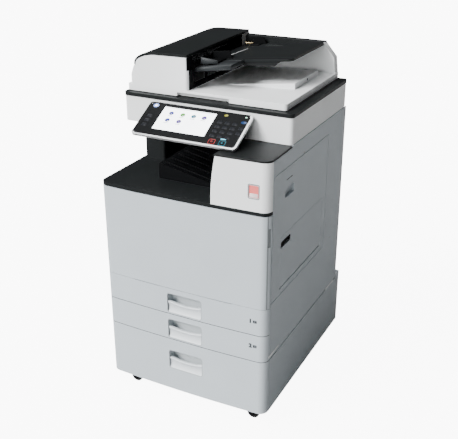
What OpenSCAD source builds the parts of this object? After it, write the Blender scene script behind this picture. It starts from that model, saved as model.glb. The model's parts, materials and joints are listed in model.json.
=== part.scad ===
// Floor-standing photocopier: scanner and document feeder above an in-body
// paper exit, two paper drawers in the main unit and a third in a wheeled cabinet.
// Millimetres. Origin at the middle of the footprint on the floor, front towards -Y.

/* [Overall] */
// Width of the machine
body_w = 587; // [560:1:700]
// Depth of the main unit behind its front corners
body_d = 638; // [610:1:700]
// Depth of the wheeled cabinet behind the front corners
cabinet_d = 685; // [660:1:740]
// Forward bow of the front, measured at the middle
front_bow = 8; // [4:0.5:12]
// Plan radius of the two front corners
corner_r = 28; // [20:1:32]

/* [Heights] */
// Height of the cabinet's underside above the floor
caster_h = 50; // [48:1:60]
// Height of the cabinet
cabinet_h = 200; // [190:1:240]
// Height of the second drawer
tray_2_h = 96; // [92:1:115]
// Height of the first drawer
tray_1_h = 94; // [92:1:115]
// Height of the front cover
cover_h = 311; // [300:1:360]
// Thickness of the dark deck over the main unit
deck_t = 11; // [9:1:14]
// Height of the paper exit bay
bay_h = 151; // [140:1:190]
// Thickness of the shelf in front of the scanner
shelf_t = 6; // [4:0.5:8]
// Height of the scanner housing
scanner_h = 83; // [78:1:100]
// Thickness of the dark frame round the glass
rim_t = 12; // [10:1:15]

/* [Shells] */
// Wall of the outer covers
wall = 3; // [2:0.25:4]
// Thickness of the sheet-metal frame
sheet = 2; // [1.5:0.25:2.5]
// Gap between two covers
gap = 2; // [1.5:0.25:3]
// Depth of the front covers' side returns
return_d = 24; // [20:1:26]
// Radius of the scanner's upright corners
scanner_r = 12; // [6:1:18]

/* [Drawers] */
// Width of a drawer's handle pocket
handle_w = 126; // [100:2:150]
// Height of a drawer's handle pocket
handle_h = 72; // [50:2:76]
// Length of a drawer's paper box
box_l = 540; // [480:5:550]
// Outer width of a drawer's paper box
box_w = 500; // [460:2:506]

/* [Scanner] */
// Distance of the scanner's front behind the front corners
scanner_y = 160; // [150:1:175]
// Length of the exposure glass
glass_w = 440; // [420:2:460]
// Depth of the exposure glass
glass_d = 310; // [297:1:330]

/* [Operation panel] */
// Width of the operation panel
panel_w = 355; // [330:1:370]
// Height of the operation panel along its face
panel_h = 144; // [140:1:150]
// Tilt of the panel from flat
panel_tilt = 28; // [20:1:32]
// Width of the touch screen
screen_w = 180; // [160:1:186]
// Height of the touch screen
screen_h = 97; // [90:1:98]

/* [Document feeder] */
// Width of the document cover
feeder_w = 553; // [545:1:560]
// Depth of the document cover
feeder_d = 452; // [445:1:455]
// Width of the feeder housing
housing_w = 209; // [200:1:214]

/* [Casters] */
// Radius of a wheel
wheel_r = 21; // [18:0.5:22]
// Width of a wheel
wheel_w = 18; // [14:0.5:20]
// Offset of a wheel's axle from its swivel
trail = 9; // [5:0.5:12]

/* [Fits] */
// Radial clearance of a shaft that turns in its hole
run = 0.05; // [0.02:0.01:0.1]
// Clearance of a part that slides in a guide
slide = 0.6; // [0.4:0.1:1]

/* [Hidden] */
$fn = 48;
// A joining overlap inside one solid
lap = 0.5;

// Heights above the cabinet's underside
z_tray_2 = cabinet_h;
z_tray_1 = z_tray_2 + tray_2_h;
z_cover = z_tray_1 + tray_1_h;
z_deck = z_cover + cover_h;
z_bay = z_deck + deck_t;
z_shelf = z_bay + bay_h;
z_scanner = z_shelf + shelf_t;
z_rim = z_scanner + scanner_h;
z_glass = z_rim + rim_t;
z_feeder = z_glass + 2;

// Plan outline: a wide arc with a small arc at each corner
half_w = body_w / 2;
bow_r = half_w * half_w / (2 * front_bow) + front_bow / 2;
bow_y = bow_r - front_bow;
corner_x = half_w - corner_r;
corner_y = bow_y - sqrt(pow(bow_r - corner_r, 2) - corner_x * corner_x);
corner_a = atan2(corner_y - bow_y, corner_x);
corner_steps = 8;
bow_steps = 16;

// Colours
white = "#e3e6e7";
cool = "#cfd4d8";
dark = "#2c2e31";
black = "#17181a";
grey = "#8d9194";
steel = "#b6babd";

// Moves a part from the machine's front chord and cabinet underside to the floor frame
module place() {
    translate([0, -(cabinet_d + front_bow) / 2 + front_bow, caster_h]) children();
}

// The plan outline drawn in by `i` on all sides, running back to `back`
function plan(i, back) = concat(
    [[-half_w + i, back]],
    [for (k = [0:corner_steps]) let (a = -180 - corner_a * k / corner_steps)
        [-corner_x + (corner_r - i) * cos(a), corner_y + (corner_r - i) * sin(a)]],
    [for (k = [1:bow_steps]) let (a = -180 - corner_a + (180 + 2 * corner_a) * k / bow_steps)
        [(bow_r - i) * cos(a), bow_y + (bow_r - i) * sin(a)]],
    [for (k = [1:corner_steps]) let (a = corner_a * (1 - k / corner_steps))
        [corner_x + (corner_r - i) * cos(a), corner_y + (corner_r - i) * sin(a)]],
    [[half_w - i, back]]);

// Depth of the bowed front at `x`
function front_at(x) = bow_y - sqrt(bow_r * bow_r - x * x);

module plan_block(i, back, z0, z1) {
    translate([0, 0, z0]) linear_extrude(z1 - z0) polygon(plan(i, back));
}

module block(x0, x1, y0, y1, z0, z1) {
    translate([x0, y0, z0]) cube([x1 - x0, y1 - y0, z1 - z0]);
}

// A flat rounded rectangle centred on the origin
module soft_rect(w, h, r) {
    union() {
        square([w - 2 * r, h], center = true);
        square([w, h - 2 * r], center = true);
        for (x = [-1, 1], y = [-1, 1]) translate([x * (w / 2 - r), y * (h / 2 - r)]) circle(r);
    }
}

// The same rectangle between two corners, extruded upwards
module soft_block(x0, x1, y0, y1, z0, z1, r) {
    translate([(x0 + x1) / 2, (y0 + y1) / 2, z0])
        linear_extrude(z1 - z0) soft_rect(x1 - x0, y1 - y0, r);
}

// A rounded rectangle in the XZ plane, extruded along Y
module soft_front(x, z, w, h, y0, y1, r) {
    translate([x, y1, z]) rotate([90, 0, 0]) linear_extrude(y1 - y0) soft_rect(w, h, r);
}

module rod_x(x0, x1, y, z, r) {
    translate([x0, y, z]) rotate([0, 90, 0]) cylinder(h = x1 - x0, r = r);
}

module rod_y(x, y0, y1, z, r) {
    translate([x, y1, z]) rotate([90, 0, 0]) cylinder(h = y1 - y0, r = r);
}

// ---- Sizes shared by the frame, the drawers and the engine ----
side_in = box_w / 2 + slide;
side_out = side_in + sheet;
frame_y0 = 36;
rail_w = 14;
ledge_t = 2;
box_y0 = frame_y0 - 2;
box_y1 = box_y0 + box_l;
floor_drop = 9;
plate_over = 1.5;
frame_rear = body_d - wall - 14;
engine_z = z_cover + 8;
engine_top = z_deck - 2;
// The upper unit stands on the cabinet's top plate
cabinet_top = z_tray_2 - 2;

// Feed rollers hang under the plate above each drawer
feed_x = box_w / 2 - 40;
feed_y = 300;
feed_l = 50;
feed_r = 10;
feed_shaft_r = 4;
feed_drop = 13;
bracket_t = 3;

// Engine shafts along Y: place and radius
drum_x = 110;
drum_z = engine_z + 132;
drum_r = 30;
drum_shaft_r = 5;
heat_x = 176;
press_x = heat_x + 42;
fuser_z = engine_z + 222;
fuser_r = 20;
fuser_shaft_r = 6;
bottle_x = -70;
bottle_z = engine_z + 238;
bottle_r = 42;
fan_x = 150;
fan_z = engine_z + 60;
fan_r = 38;

// Front cover hinge
hinge_y = -2;
hinge_z = z_cover + 6;
hinge_x = 118;
hinge_w = 10;
hinge_pin_r = 1.5;
hinge_boss_r = 3.4;
cover_z0 = z_cover + 0.6;
cover_z1 = z_deck - gap;

// Right door and bypass tray
door_y0 = return_d + gap + 2;
door_y1 = 474;
door_z0 = z_cover + 12;
door_z1 = z_shelf - 50;
door_pin_x = half_w - 5.5;
door_pin_y = door_y1 - 6;
door_pin_r = 2;
// Room the door's hinge edge needs to swing in
door_swing_r = 9;
door_knuckle_r = 4;
bypass_y0 = 91;
bypass_y1 = 442;
bypass_z0 = z_cover + 38;
bypass_z1 = z_cover + 210;
bypass_t = 11.5;
bypass_x = half_w - bypass_t / 2;
bypass_pin_r = 2.5;

// A plate with a hanging pair of brackets for one feed roller
module feed_brackets(z) {
    difference() {
        for (y = [feed_y - feed_l / 2 - 1 - bracket_t, feed_y + feed_l / 2 + 1])
            block(feed_x - 8, feed_x + 8, y, y + bracket_t, z - feed_drop - 7, z + lap);
        rod_y(feed_x, feed_y - feed_l, feed_y + feed_l, z - feed_drop, feed_shaft_r + run);
    }
}

module feed_roller(z) {
    color(grey) place() {
        rod_y(feed_x, feed_y - feed_l / 2 - 6, feed_y + feed_l / 2 + 6, z - feed_drop, feed_shaft_r);
        rod_y(feed_x, feed_y - feed_l / 2, feed_y + feed_l / 2, z - feed_drop, feed_r);
    }
}

// A pair of runners for the drawer whose box floor lies at `z`
module runners(z, back) {
    for (s = [-1, 1]) {
        block(min(s * side_out, s * (side_in - rail_w)), max(s * side_out, s * (side_in - rail_w)),
            frame_y0 + 2, back, z - 0.3 - ledge_t, z - 0.3);
    }
}

module main_frame() {
    z_mid = z_tray_1 + plate_over;
    color(steel) place() difference() {
        union() {
            for (s = [-1, 1])
                block(s > 0 ? side_in : -side_out, s > 0 ? side_out : -side_in,
                    frame_y0, frame_rear + sheet, cabinet_top, engine_z);
            block(-half_w + wall + 1, half_w - 16, frame_y0, frame_rear + sheet,
                engine_z, engine_z + sheet);
            block(-side_out, side_out, frame_y0 + 2, frame_rear + lap, z_mid, z_mid + sheet);
            block(-half_w + wall + 1, half_w - wall - 1, frame_rear, frame_rear + sheet,
                z_tray_2 + gap, z_deck);
            block(-half_w + wall + 1, half_w - 30, frame_y0, frame_y0 + sheet, engine_z, z_deck);
            block(-half_w + wall + 1, -half_w + wall + 1 + sheet, frame_y0, frame_rear + lap,
                engine_z, z_deck);
            for (z = [engine_z + 110, engine_top - 4]) block(half_w - 44, half_w - 32,
                frame_y0, frame_rear + lap, z, z + 4);
            for (z = [z_tray_2, z_tray_1]) runners(z + floor_drop, frame_rear + lap);
            for (z = [z_mid, engine_z]) feed_brackets(z);
            for (s = [-1, 1]) cover_hinge_arm(s);
        }
        rod_y(drum_x, 0, body_d, drum_z, drum_shaft_r + run);
        rod_y(bottle_x, 0, body_d / 2, bottle_z, bottle_r + 2);
        rod_y(fan_x, body_d / 2, body_d, fan_z, fan_r + 2);
        for (x = [heat_x, press_x]) rod_y(x, 0, body_d, fuser_z, fuser_r + 1.5);
    }
}

// An arm of the frame that carries one hinge pin of the front cover
module cover_hinge_arm(s) {
    block(s * hinge_x - 1.5, s * hinge_x + 1.5, hinge_y, frame_y0 + lap,
        hinge_z - 1.4, hinge_z + 1.4);
    block(s * hinge_x - 1.5, s * hinge_x + 1.5, frame_y0 - 8, frame_y0 + sheet,
        hinge_z - 1.4, engine_z + 20);
    rod_x(s * hinge_x - 1.5 - hinge_w, s * hinge_x + 1.5 + hinge_w, hinge_y, hinge_z, hinge_pin_r);
}

module cabinet_shell() {
    color(cool) place() {
        difference() {
            union() {
                difference() {
                    soft_block(-half_w, half_w, return_d + gap, cabinet_d, 0, cabinet_top, 10);
                    block(-half_w + wall, half_w - wall, 0, cabinet_d - wall, wall,
                        cabinet_top - wall);
                }
                soft_block(-half_w, half_w, body_d + 1, cabinet_d, z_tray_2 - 4, z_tray_2 + 8, 8);
                for (s = [-1, 1])
                    block(s > 0 ? side_in : -side_out, s > 0 ? side_out : -side_in, frame_y0,
                        cabinet_d - wall + lap, wall - lap, cabinet_top - wall + lap);
                runners(floor_drop, cabinet_d - wall + lap);
                feed_brackets(cabinet_top - wall);
            }
            // Squares off the rounded front of the shell, which the drawer front meets
            block(-half_w - 1, half_w + 1, 0, return_d + gap, -1, z_tray_2 + 1);
            for (s = [-1, 1], y = [caster_y0, caster_y1])
                translate([s * caster_x, y, -1]) cylinder(h = wall + 2, r = king_r + run);
        }
        for (s = [-1, 1]) block(s > 0 ? half_w - 12 : -half_w, s > 0 ? half_w : -half_w + 12,
            return_d + gap, return_d + gap + 14, lap, cabinet_top - lap);
    }
}

// ---- Casters ----
caster_x = half_w - 66;
caster_y0 = 42;
caster_y1 = cabinet_d - 60;
wheel_z = -caster_h + wheel_r;
axle_r = 3;
king_r = 5;
king_h = 6.6;
cheek_t = 3;
cheek_gap = 1;
hood_top = -5.5;

module fork(x, y, turning) {
    reach = wheel_w / 2 + cheek_gap;
    translate([x, y, 0]) {
        difference() {
            union() {
                for (s = [-1, 1]) translate([0, s * (reach + cheek_t / 2) + cheek_t / 2, 0])
                    rotate([90, 0, 0]) linear_extrude(cheek_t) union() {
                        translate([trail, wheel_z]) circle(9);
                        polygon([[-16, hood_top], [22, hood_top], [22, hood_top - 5],
                            [trail + 9, wheel_z], [trail - 9, wheel_z], [-14, hood_top - 5]]);
                    }
                block(-16, 22, -reach - cheek_t, reach + cheek_t, hood_top - 1, hood_top + 3);
            }
            rod_y(trail, -reach - 5, reach + 5, wheel_z, axle_r + run);
        }
        translate([0, 0, hood_top + 1]) cylinder(h = -hood_top - 1 - (turning ? 0.4 : 0), r = 13);
        translate([0, 0, hood_top + 1]) cylinder(h = king_h - hood_top - 1, r = king_r);
        if (turning) translate([0, 0, wall + 0.4]) cylinder(h = 3, r = king_r + 4);
    }
}

module wheel(x, y) {
    color(dark) place() translate([x + trail, y, 0]) {
        rod_y(0, -wheel_w / 2, wheel_w / 2, wheel_z, wheel_r - 1.5);
        rod_y(0, -wheel_w / 2 + 1.5, wheel_w / 2 - 1.5, wheel_z, wheel_r);
        rod_y(0, -wheel_w / 2 - cheek_gap - cheek_t - 1, wheel_w / 2 + cheek_gap + cheek_t + 1,
            wheel_z, axle_r);
    }
}

module left_caster_fork() { color(black) place() fork(-caster_x, caster_y0, true); }
module right_caster_fork() { color(black) place() fork(caster_x, caster_y0, true); }
module rear_caster_forks() {
    color(black) place() for (s = [-1, 1]) fork(s * caster_x, caster_y1, false);
}
module left_front_wheel() { wheel(-caster_x, caster_y0); }
module right_front_wheel() { wheel(caster_x, caster_y0); }
module left_rear_wheel() { wheel(-caster_x, caster_y1); }
module right_rear_wheel() { wheel(caster_x, caster_y1); }

// ---- Drawers ----
handle_x = 7.5;
pocket_d = 25;
pocket_wall = 2.5;
box_wall = 2.5;
head_room = 31;
flange_d = 11;
lip_drop = 30;

// A bowed front panel with side returns and a flange along its foot and top
module bowed_skin(z0, z1) {
    difference() {
        plan_block(0, corner_r + 10, z0, z1);
        plan_block(wall, corner_r + 11, z0 + wall, z1 - wall);
        plan_block(flange_d, corner_r + 11, z0 - 1, z1 + 1);
        block(-half_w - 1, half_w + 1, return_d, corner_r + 12, z0 - 1, z1 + 1);
    }
}

// The pocket behind a drawer's handle, drawn out by `grow`
module handle_pocket(z, grow, y1) {
    soft_front(handle_x, z, handle_w + 2 * grow, handle_h + 2 * grow, -front_bow + 1.5, y1, 9 + grow);
}

// `foot` is the height of the pocket's lower edge above the drawer's own
module drawer(z0, h, foot, last) {
    bottom = z0 + gap / 2;
    top = z0 + h - (last ? 0.6 : gap / 2);
    grip_z = z0 + foot + handle_h / 2;
    box_z = z0 + floor_drop;
    color(cool) place() {
        difference() {
            union() {
                bowed_skin(bottom, top);
                intersection() {
                    handle_pocket(grip_z, pocket_wall, box_y0);
                    plan_block(0.5, body_d, bottom, top);
                }
            }
            translate([0, -20, 0]) handle_pocket(grip_z, 0, return_d + pocket_wall + 20);
            if (last) rod_x(-hinge_x - 60, hinge_x + 60, hinge_y, hinge_z, 8.6);
        }
        // The sagging lip that the fingers reach behind
        difference() {
            block(handle_x - handle_w / 2 - 1, handle_x + handle_w / 2 + 1, 1.5, 4.5,
                grip_z - handle_h / 2 - 1, grip_z + handle_h / 2 - lip_drop);
            translate([handle_x, 6, grip_z + handle_h / 2 - lip_drop - lip_sag + lip_r])
                rotate([90, 0, 0]) cylinder(h = 6, r = lip_r, $fn = 96);
        }
    }
    color(grey) place() difference() {
        block(-box_w / 2, box_w / 2, box_y0, box_y1, box_z, z0 + h - head_room);
        block(-box_w / 2 + box_wall, box_w / 2 - box_wall, box_y0 + box_wall, box_y1 - box_wall,
            box_z + box_wall, z0 + h);
    }
}

lip_sag = 7;
lip_r = handle_w * handle_w / (8 * lip_sag) + lip_sag / 2;

module tray_1() { drawer(z_tray_1, tray_1_h, 4, true); }
module tray_2() { drawer(z_tray_2, tray_2_h, 4, false); }
module tray_3() { drawer(0, cabinet_h, 84, false); }
module feed_roller_1() { feed_roller(engine_z); }
module feed_roller_2() { feed_roller(z_tray_1 + plate_over); }
module feed_roller_3() { feed_roller(cabinet_top - wall); }

// ---- Front cover ----
module front_cover() {
    color(cool) place() difference() {
        union() {
            bowed_skin(cover_z0, cover_z1);
            for (s = [-1, 1], t = [-1, 1]) {
                x = s * hinge_x + t * (hinge_w / 2 + 2);
                rod_x(x - hinge_w / 2 + 0.3, x + hinge_w / 2 - 0.3, hinge_y, hinge_z, hinge_boss_r);
            }
        }
        for (s = [-1, 1])
            rod_x(s * hinge_x - 15, s * hinge_x + 15, hinge_y, hinge_z, hinge_pin_r + run);
        // Slots that the frame's hinge arms pass through
        for (s = [-1, 1]) block(s * hinge_x - 2, s * hinge_x + 2, hinge_y - 2, return_d,
            cover_z0 - 1, hinge_z + 4);
        // Finger recesses where the front turns into the returns
        for (s = [-1, 1]) translate([s * corner_x, corner_y, z_cover + 240])
            rotate([0, 0, s > 0 ? -25 : 205]) block(corner_r - 2, corner_r + 5, -6, 6, -30, 30);
    }
}

// ---- Side and rear covers ----
module left_cover() {
    color(cool) place() difference() {
        block(-half_w, -half_w + wall, return_d + gap, body_d, z_tray_2 + gap, z_deck - 0.3);
        for (k = [0:9]) block(-half_w - 1, -half_w + wall + 1, 420 + 14 * k, 426 + 14 * k,
            z_cover + 120, z_cover + 200);
        soft_side(-half_w, 200, z_tray_1 - 40, 130, 30, 2 * wall + 2, 8);
    }
}

// A rounded rectangle in the YZ plane, extruded along X about `x`
module soft_side(x, y, z, w, h, t, r) {
    translate([x - t / 2, y, z]) rotate([90, 0, 90]) linear_extrude(t) soft_rect(w, h, r);
}

module rear_cover() {
    color(cool) place() difference() {
        block(-half_w + wall + 0.3, half_w - wall - 0.3, body_d - wall, body_d,
            z_tray_2 + 10, z_shelf - 1);
        for (k = [0:11]) block(fan_x - 45, fan_x + 45, body_d - wall - 1, body_d + 1,
            fan_z - 42 + 7 * k, fan_z - 38 + 7 * k);
        block(inlet_x - inlet_w / 2, inlet_x + inlet_w / 2, body_d - wall - 1, body_d + 1,
            inlet_z - inlet_h / 2, inlet_z + inlet_h / 2);
        for (k = [0:7]) block(-150, -60, body_d - wall - 1, body_d + 1,
            z_cover + 150 + 9 * k, z_cover + 155 + 9 * k);
        rear_screws(screw_r + run, 1);
    }
}

inlet_x = -190;
inlet_z = z_tray_1 - 40;
inlet_w = 50;
inlet_h = 28;

screw_r = 3.5;

// Screws, or with a larger radius their holes, through the right cover
module side_screws(r, sink) {
    for (p = [[257, z_scanner - 49], [600, z_scanner - 49], [600, z_tray_1], [540, z_cover + 20]])
        if (p[0] > door_y1 || p[1] > door_z1 + 4)
            rod_x(half_w - wall - 4, half_w - sink, p[0], p[1], r);
}

// The same through the rear cover
module rear_screws(r, head) {
    for (x = [-1, 1], z = [z_tray_1, z_cover + 60, z_deck + 60])
        rod_y(x * (half_w - 24), body_d - wall - 4, body_d + head, z, r);
}

module right_cover() {
    color(cool) place() {
        difference() {
            union() {
                block(half_w - wall, half_w, return_d + gap, body_d, z_tray_2 + gap, z_scanner - 0.3);
                for (s = [0, 1]) block(half_w - 12, half_w - wall + lap, door_pin_y - 7, door_pin_y + 12,
                    s > 0 ? door_z1 + 3 : door_z0 - 3 - wall, s > 0 ? door_z1 + 3 + wall : door_z0 - 3);
            }
            side_screws(screw_r + run, -1);
            // The shelf runs out to the side in front of the scanner
            block(half_w - wall - 1, half_w + 1, 0, scanner_y + 0.3, z_shelf - 0.3, z_scanner + 1);
            // Door opening, its rounded front corner at the top
            block(half_w - wall - 1, half_w + 1, return_d, door_y1 + 3, door_z0 - 2, door_z1 - 18);
            block(half_w - wall - 1, half_w + 1, door_y0 + 18, door_y1 + 3, door_z0, door_z1 + 2);
            translate([half_w - wall - 1, door_y0 + 18, door_z1 - 18]) rotate([0, 90, 0])
                cylinder(h = wall + 2, r = 20);
        }
        for (s = [0, 1]) translate([door_pin_x, door_pin_y, s > 0 ? door_z1 - 12 : door_z0 - 3 - lap])
            cylinder(h = 15 + lap, r = door_pin_r);
    }
}

module right_door() {
    color(cool) place() difference() {
        union() {
            intersection() {
                block(half_w - wall, half_w, door_y0, door_y1, door_z0, door_z1);
                union() {
                    block(half_w - wall, half_w, door_y0, door_y1, door_z0, door_z1 - 18);
                    block(half_w - wall, half_w, door_y0 + 18, door_y1, door_z0, door_z1);
                    translate([half_w - wall, door_y0 + 18, door_z1 - 18]) rotate([0, 90, 0])
                        cylinder(h = wall, r = 18);
                }
            }
            for (z = [door_z0 + 1, door_z1 - 21]) {
                translate([door_pin_x, door_pin_y, z]) cylinder(h = 20, r = door_knuckle_r);
                block(door_pin_x, half_w - wall + lap, door_pin_y - 4, door_pin_y + 4, z, z + 20);
            }
            block(half_w - 14, half_w - wall + lap, 112, 188, door_z1 - 97, door_z1 - 63);
            // Pocket that holds the folded bypass tray
            block(half_w - bypass_t - 1 - wall, half_w - wall + lap, bypass_y0 - 1 - wall,
                bypass_y1 + 1 + wall, bypass_z0 - bypass_t / 2 - 1 - wall, bypass_z1 + 1 + wall);
        }
        block(half_w - bypass_t - 1, half_w + 1, bypass_y0 - 1, bypass_y1 + 1,
            bypass_z0 - bypass_t / 2 - 1, bypass_z1 + 1);
        for (z = [door_z0 - 1, door_z1 - 13]) translate([door_pin_x, door_pin_y, z])
            cylinder(h = 14, r = door_pin_r + run);
        rod_y(bypass_x, bypass_y0 - 1 - wall - 1, bypass_y1 + 1 + wall + 1, bypass_z0,
            bypass_pin_r + run);
        soft_side(half_w, 150, door_z1 - 80, 70, 28, 22, 6);
    }
}

module bypass_tray() {
    color(cool) place() difference() {
        union() {
            block(half_w - bypass_t, half_w, bypass_y0, bypass_y1, bypass_z0, bypass_z1);
            rod_y(bypass_x, bypass_y0, bypass_y1, bypass_z0, bypass_t / 2);
            rod_y(bypass_x, bypass_y0 - wall - 1, bypass_y1 + wall + 1, bypass_z0, bypass_pin_r);
        }
        // Grip recess in the face
        soft_side(half_w, bypass_y0 + 39, bypass_z1 - 28, 74, 22, 14, 6);
        // Paper channel in the inner face
        block(half_w - bypass_t - 1, half_w - bypass_t + 3, bypass_y0 + 12, bypass_y1 - 12,
            bypass_z0 + 20, bypass_z1 - 6);
    }
}

// ---- Deck, exit bay and front module ----
module top_deck() {
    color(dark) place() difference() {
        plan_block(0, body_d, z_deck, z_bay);
        // The side covers carry on past the deck at the right
        block(half_w - wall - 0.3, half_w + 1, return_d + gap - 0.3, body_d + 1, z_deck - 1, z_bay + 1);
        block(-half_w, half_w, body_d - wall - 0.3, body_d + 1, z_deck - 1, z_bay + 1);
        plan_block(wall + 3, body_d - 20, z_deck - 1, z_bay - wall);
        translate([door_pin_x, door_pin_y, z_deck - 1])
            cylinder(h = z_bay - z_deck + 2, r = door_swing_r);
    }
}

bay_x0 = 93 - half_w;
module_x = 400 - half_w;
ramp_x0 = 155 - half_w;
ramp_x1 = module_x - 2;
ramp_y0 = 107;
column_y = body_d - 78;
ramp_h = 50;
rib_w = 3;

module exit_tray() {
    color(black) place() {
        difference() {
            translate([0, column_y - 0.3, z_bay]) rotate([90, 0, 0])
                linear_extrude(column_y - 0.3 - ramp_y0)
                    polygon([[ramp_x0, 0], [ramp_x0, ramp_h], [ramp_x1, 2], [ramp_x1, 0]]);
            translate([0, column_y - 10, z_bay]) rotate([90, 0, 0])
                linear_extrude(column_y - 10 - ramp_y0 - wall)
                    polygon([[ramp_x0 + wall, -1], [ramp_x0 + wall, ramp_h - 4],
                        [ramp_x1 - 40, 2], [ramp_x1 - 40, -1]]);
        }
        for (k = [0:10]) translate([0, ramp_y0 + 22 + 40 * k + rib_w, z_bay]) rotate([90, 0, 0])
            linear_extrude(rib_w) polygon([[ramp_x0 + 8, ramp_h - 3], [ramp_x0 + 14, ramp_h + 2],
                [ramp_x1 - 20, 7], [ramp_x1 - 12, 1]]);
    }
}

module rear_column() {
    box_x = 17 - half_w;
    box_y = 245;
    // Short of the cover's screws
    column_x1 = half_w - wall - 5;
    color(black) place() {
        difference() {
            block(-half_w + 40, column_x1, column_y, body_d - wall - 0.5, z_bay, z_scanner);
            block(-half_w + 40 + wall, column_x1 - wall, column_y + wall, body_d,
                z_bay + wall, z_scanner - wall);
            // Slot that the paper leaves by
            block(ramp_x1 - 120, module_x + 60, column_y - 1, column_y + wall + 1, z_bay + 40, z_bay + 52);
        }
        difference() {
            soft_block(box_x, bay_x0, box_y, column_y + 6, z_bay, z_bay + 72, 8);
            soft_block(box_x + wall, bay_x0 - wall, box_y + wall, column_y - 6, z_bay - 1,
                z_bay + 72 - wall, 6);
            block(box_x + 18, bay_x0 + 1, box_y + 90, column_y - 40, z_bay + 48, z_bay + 60);
        }
    }
}

// The module's left face: bowed to the left at its foot
function module_edge(z) = module_x + 15 * pow((z - z_bay) / bay_h, 2);
edge_steps = 10;

module module_space(i) {
    translate([0, body_d, 0]) rotate([90, 0, 0]) linear_extrude(body_d + 40) polygon(concat(
        [for (k = [0:edge_steps]) let (z = z_bay - 1 + (bay_h + 2) * k / edge_steps)
            [module_edge(z) + i, z]],
        [[half_w + 1, z_shelf + 1], [half_w + 1, z_bay - 1]]));
}

// Switch window
switch_x = 538 - half_w;
switch_z = z_bay + 62;
switch_w = 30;
switch_h = 38;
switch_d = 10;

module module_cover() {
    color(white) place() difference() {
        union() {
            intersection() {
                difference() {
                    plan_block(0, column_y, z_bay, z_shelf);
                    intersection() {
                        plan_block(wall, column_y + 1, z_bay - 1, z_shelf - wall);
                        module_space(wall);
                    }
                    block(half_w - wall - 0.3, half_w + 1, return_d + gap - 0.3, body_d,
                        z_bay - 1, z_shelf + 1);
                }
                module_space(0);
            }
            soft_front(switch_x, switch_z, switch_w + 6, switch_h + 6, front_at(switch_x) + 1,
                front_at(switch_x) + switch_d + 8, 4);
        }
        soft_front(switch_x, switch_z, switch_w, switch_h, -20, front_at(switch_x) + switch_d + 6, 3);
    }
}

module power_switch() {
    color("#d96a6a") place() {
        soft_front(switch_x, switch_z, switch_w - 1, switch_h - 1, front_at(switch_x) + 1,
            front_at(switch_x) + switch_d, 2.5);
    }
}

module module_shelf() {
    color(dark) place() difference() {
        intersection() {
            plan_block(0, column_y - 0.3, z_shelf, z_scanner);
            block(module_x + 12, half_w + 1, -20, column_y, z_shelf, z_scanner);
        }
        block(half_w - wall - 0.3, half_w + 1, scanner_y, body_d, z_shelf - 1, z_scanner + 1);
    }
}

// ---- Scanner ----
scan_x = half_w - 2;
scan_y1 = body_d;
glass_x = -30;
glass_y = scanner_y + 45 + glass_d / 2;
glass_t = 3;
rail_z = z_scanner + 38;

module scanner_housing() {
    color(white) place() {
        difference() {
            soft_block(-scan_x, scan_x, scanner_y, scan_y1, z_scanner, z_rim, scanner_r);
            soft_block(-scan_x + wall, scan_x - wall, scanner_y + wall, scan_y1 - wall,
                z_scanner + wall, z_rim + 1, scanner_r - wall);
        }
        for (y = [glass_y - glass_d / 2 - 14, glass_y + glass_d / 2 + 6])
            block(-scan_x + wall - lap, scan_x - wall + lap, y, y + 8, z_scanner + wall - lap, rail_z);
    }
}

module scanner_rim() {
    color(dark) place() difference() {
        union() {
            soft_block(-half_w, half_w, scanner_y - 2, scan_y1, z_rim, z_glass, scanner_r + 2);
        }
        soft_block(glass_x - glass_w / 2, glass_x + glass_w / 2, glass_y - glass_d / 2,
            glass_y + glass_d / 2, z_rim - 1, z_glass + 1, 3);
        soft_block(glass_x - glass_w / 2 - 5, glass_x + glass_w / 2 + 5, glass_y - glass_d / 2 - 5,
            glass_y + glass_d / 2 + 5, z_glass - glass_t, z_glass + 1, 4);
        soft_block(-scan_x + wall + 4, scan_x - wall - 4, scanner_y + wall + 4,
            scan_y1 - wall - 4, z_rim - 1, z_rim + rim_t - glass_t - 4, scanner_r);
    }
}

module exposure_glass() {
    color("#9fb0b4") place() soft_block(glass_x - glass_w / 2 - 5 + 0.1, glass_x + glass_w / 2 + 4.9,
        glass_y - glass_d / 2 - 4.9, glass_y + glass_d / 2 + 4.9, z_glass - glass_t, z_glass, 4);
}

lamp_w = 44;
lamp_x = glass_x - glass_w / 2 + 26;
mirror_w = 30;

// A carriage that runs along the scanner's two rails
module carriage(x, w, h, slot) {
    y0 = glass_y - glass_d / 2 - 16;
    y1 = glass_y + glass_d / 2 + 16;
    difference() {
        block(x - w / 2, x + w / 2, y0, y1, rail_z + 0.3, rail_z + h);
        block(x - slot / 2, x + slot / 2, y0 + 20, y1 - 20, rail_z - 1, rail_z + h + 1);
        block(x - w / 2 + 3, x + w / 2 - 3, y0 + 20, y1 - 20, rail_z - 1, rail_z + h - 5);
    }
}

module lamp_carriage() {
    color(grey) place() {
        carriage(lamp_x, lamp_w, 26, 12);
        rod_y(lamp_x + 13, glass_y - glass_d / 2 - 2, glass_y + glass_d / 2 + 2, rail_z + 15, 4);
    }
}

module mirror_carriage() {
    color(steel) place() carriage(lamp_x - lamp_w / 2 - mirror_w / 2 - 3, mirror_w, 20, 8);
}

module lens_block() {
    color(black) place() difference() {
        union() {
            block(60, 170, glass_y - 60, glass_y + 60, z_scanner + wall, z_scanner + wall + 4);
            block(80, 150, glass_y - 32, glass_y + 32, z_scanner + wall + 3, z_scanner + wall + 30);
            rod_x(66, 81, glass_y, z_scanner + wall + 17, 12);
        }
        rod_x(60, 76, glass_y, z_scanner + wall + 17, 9);
    }
}

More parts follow.
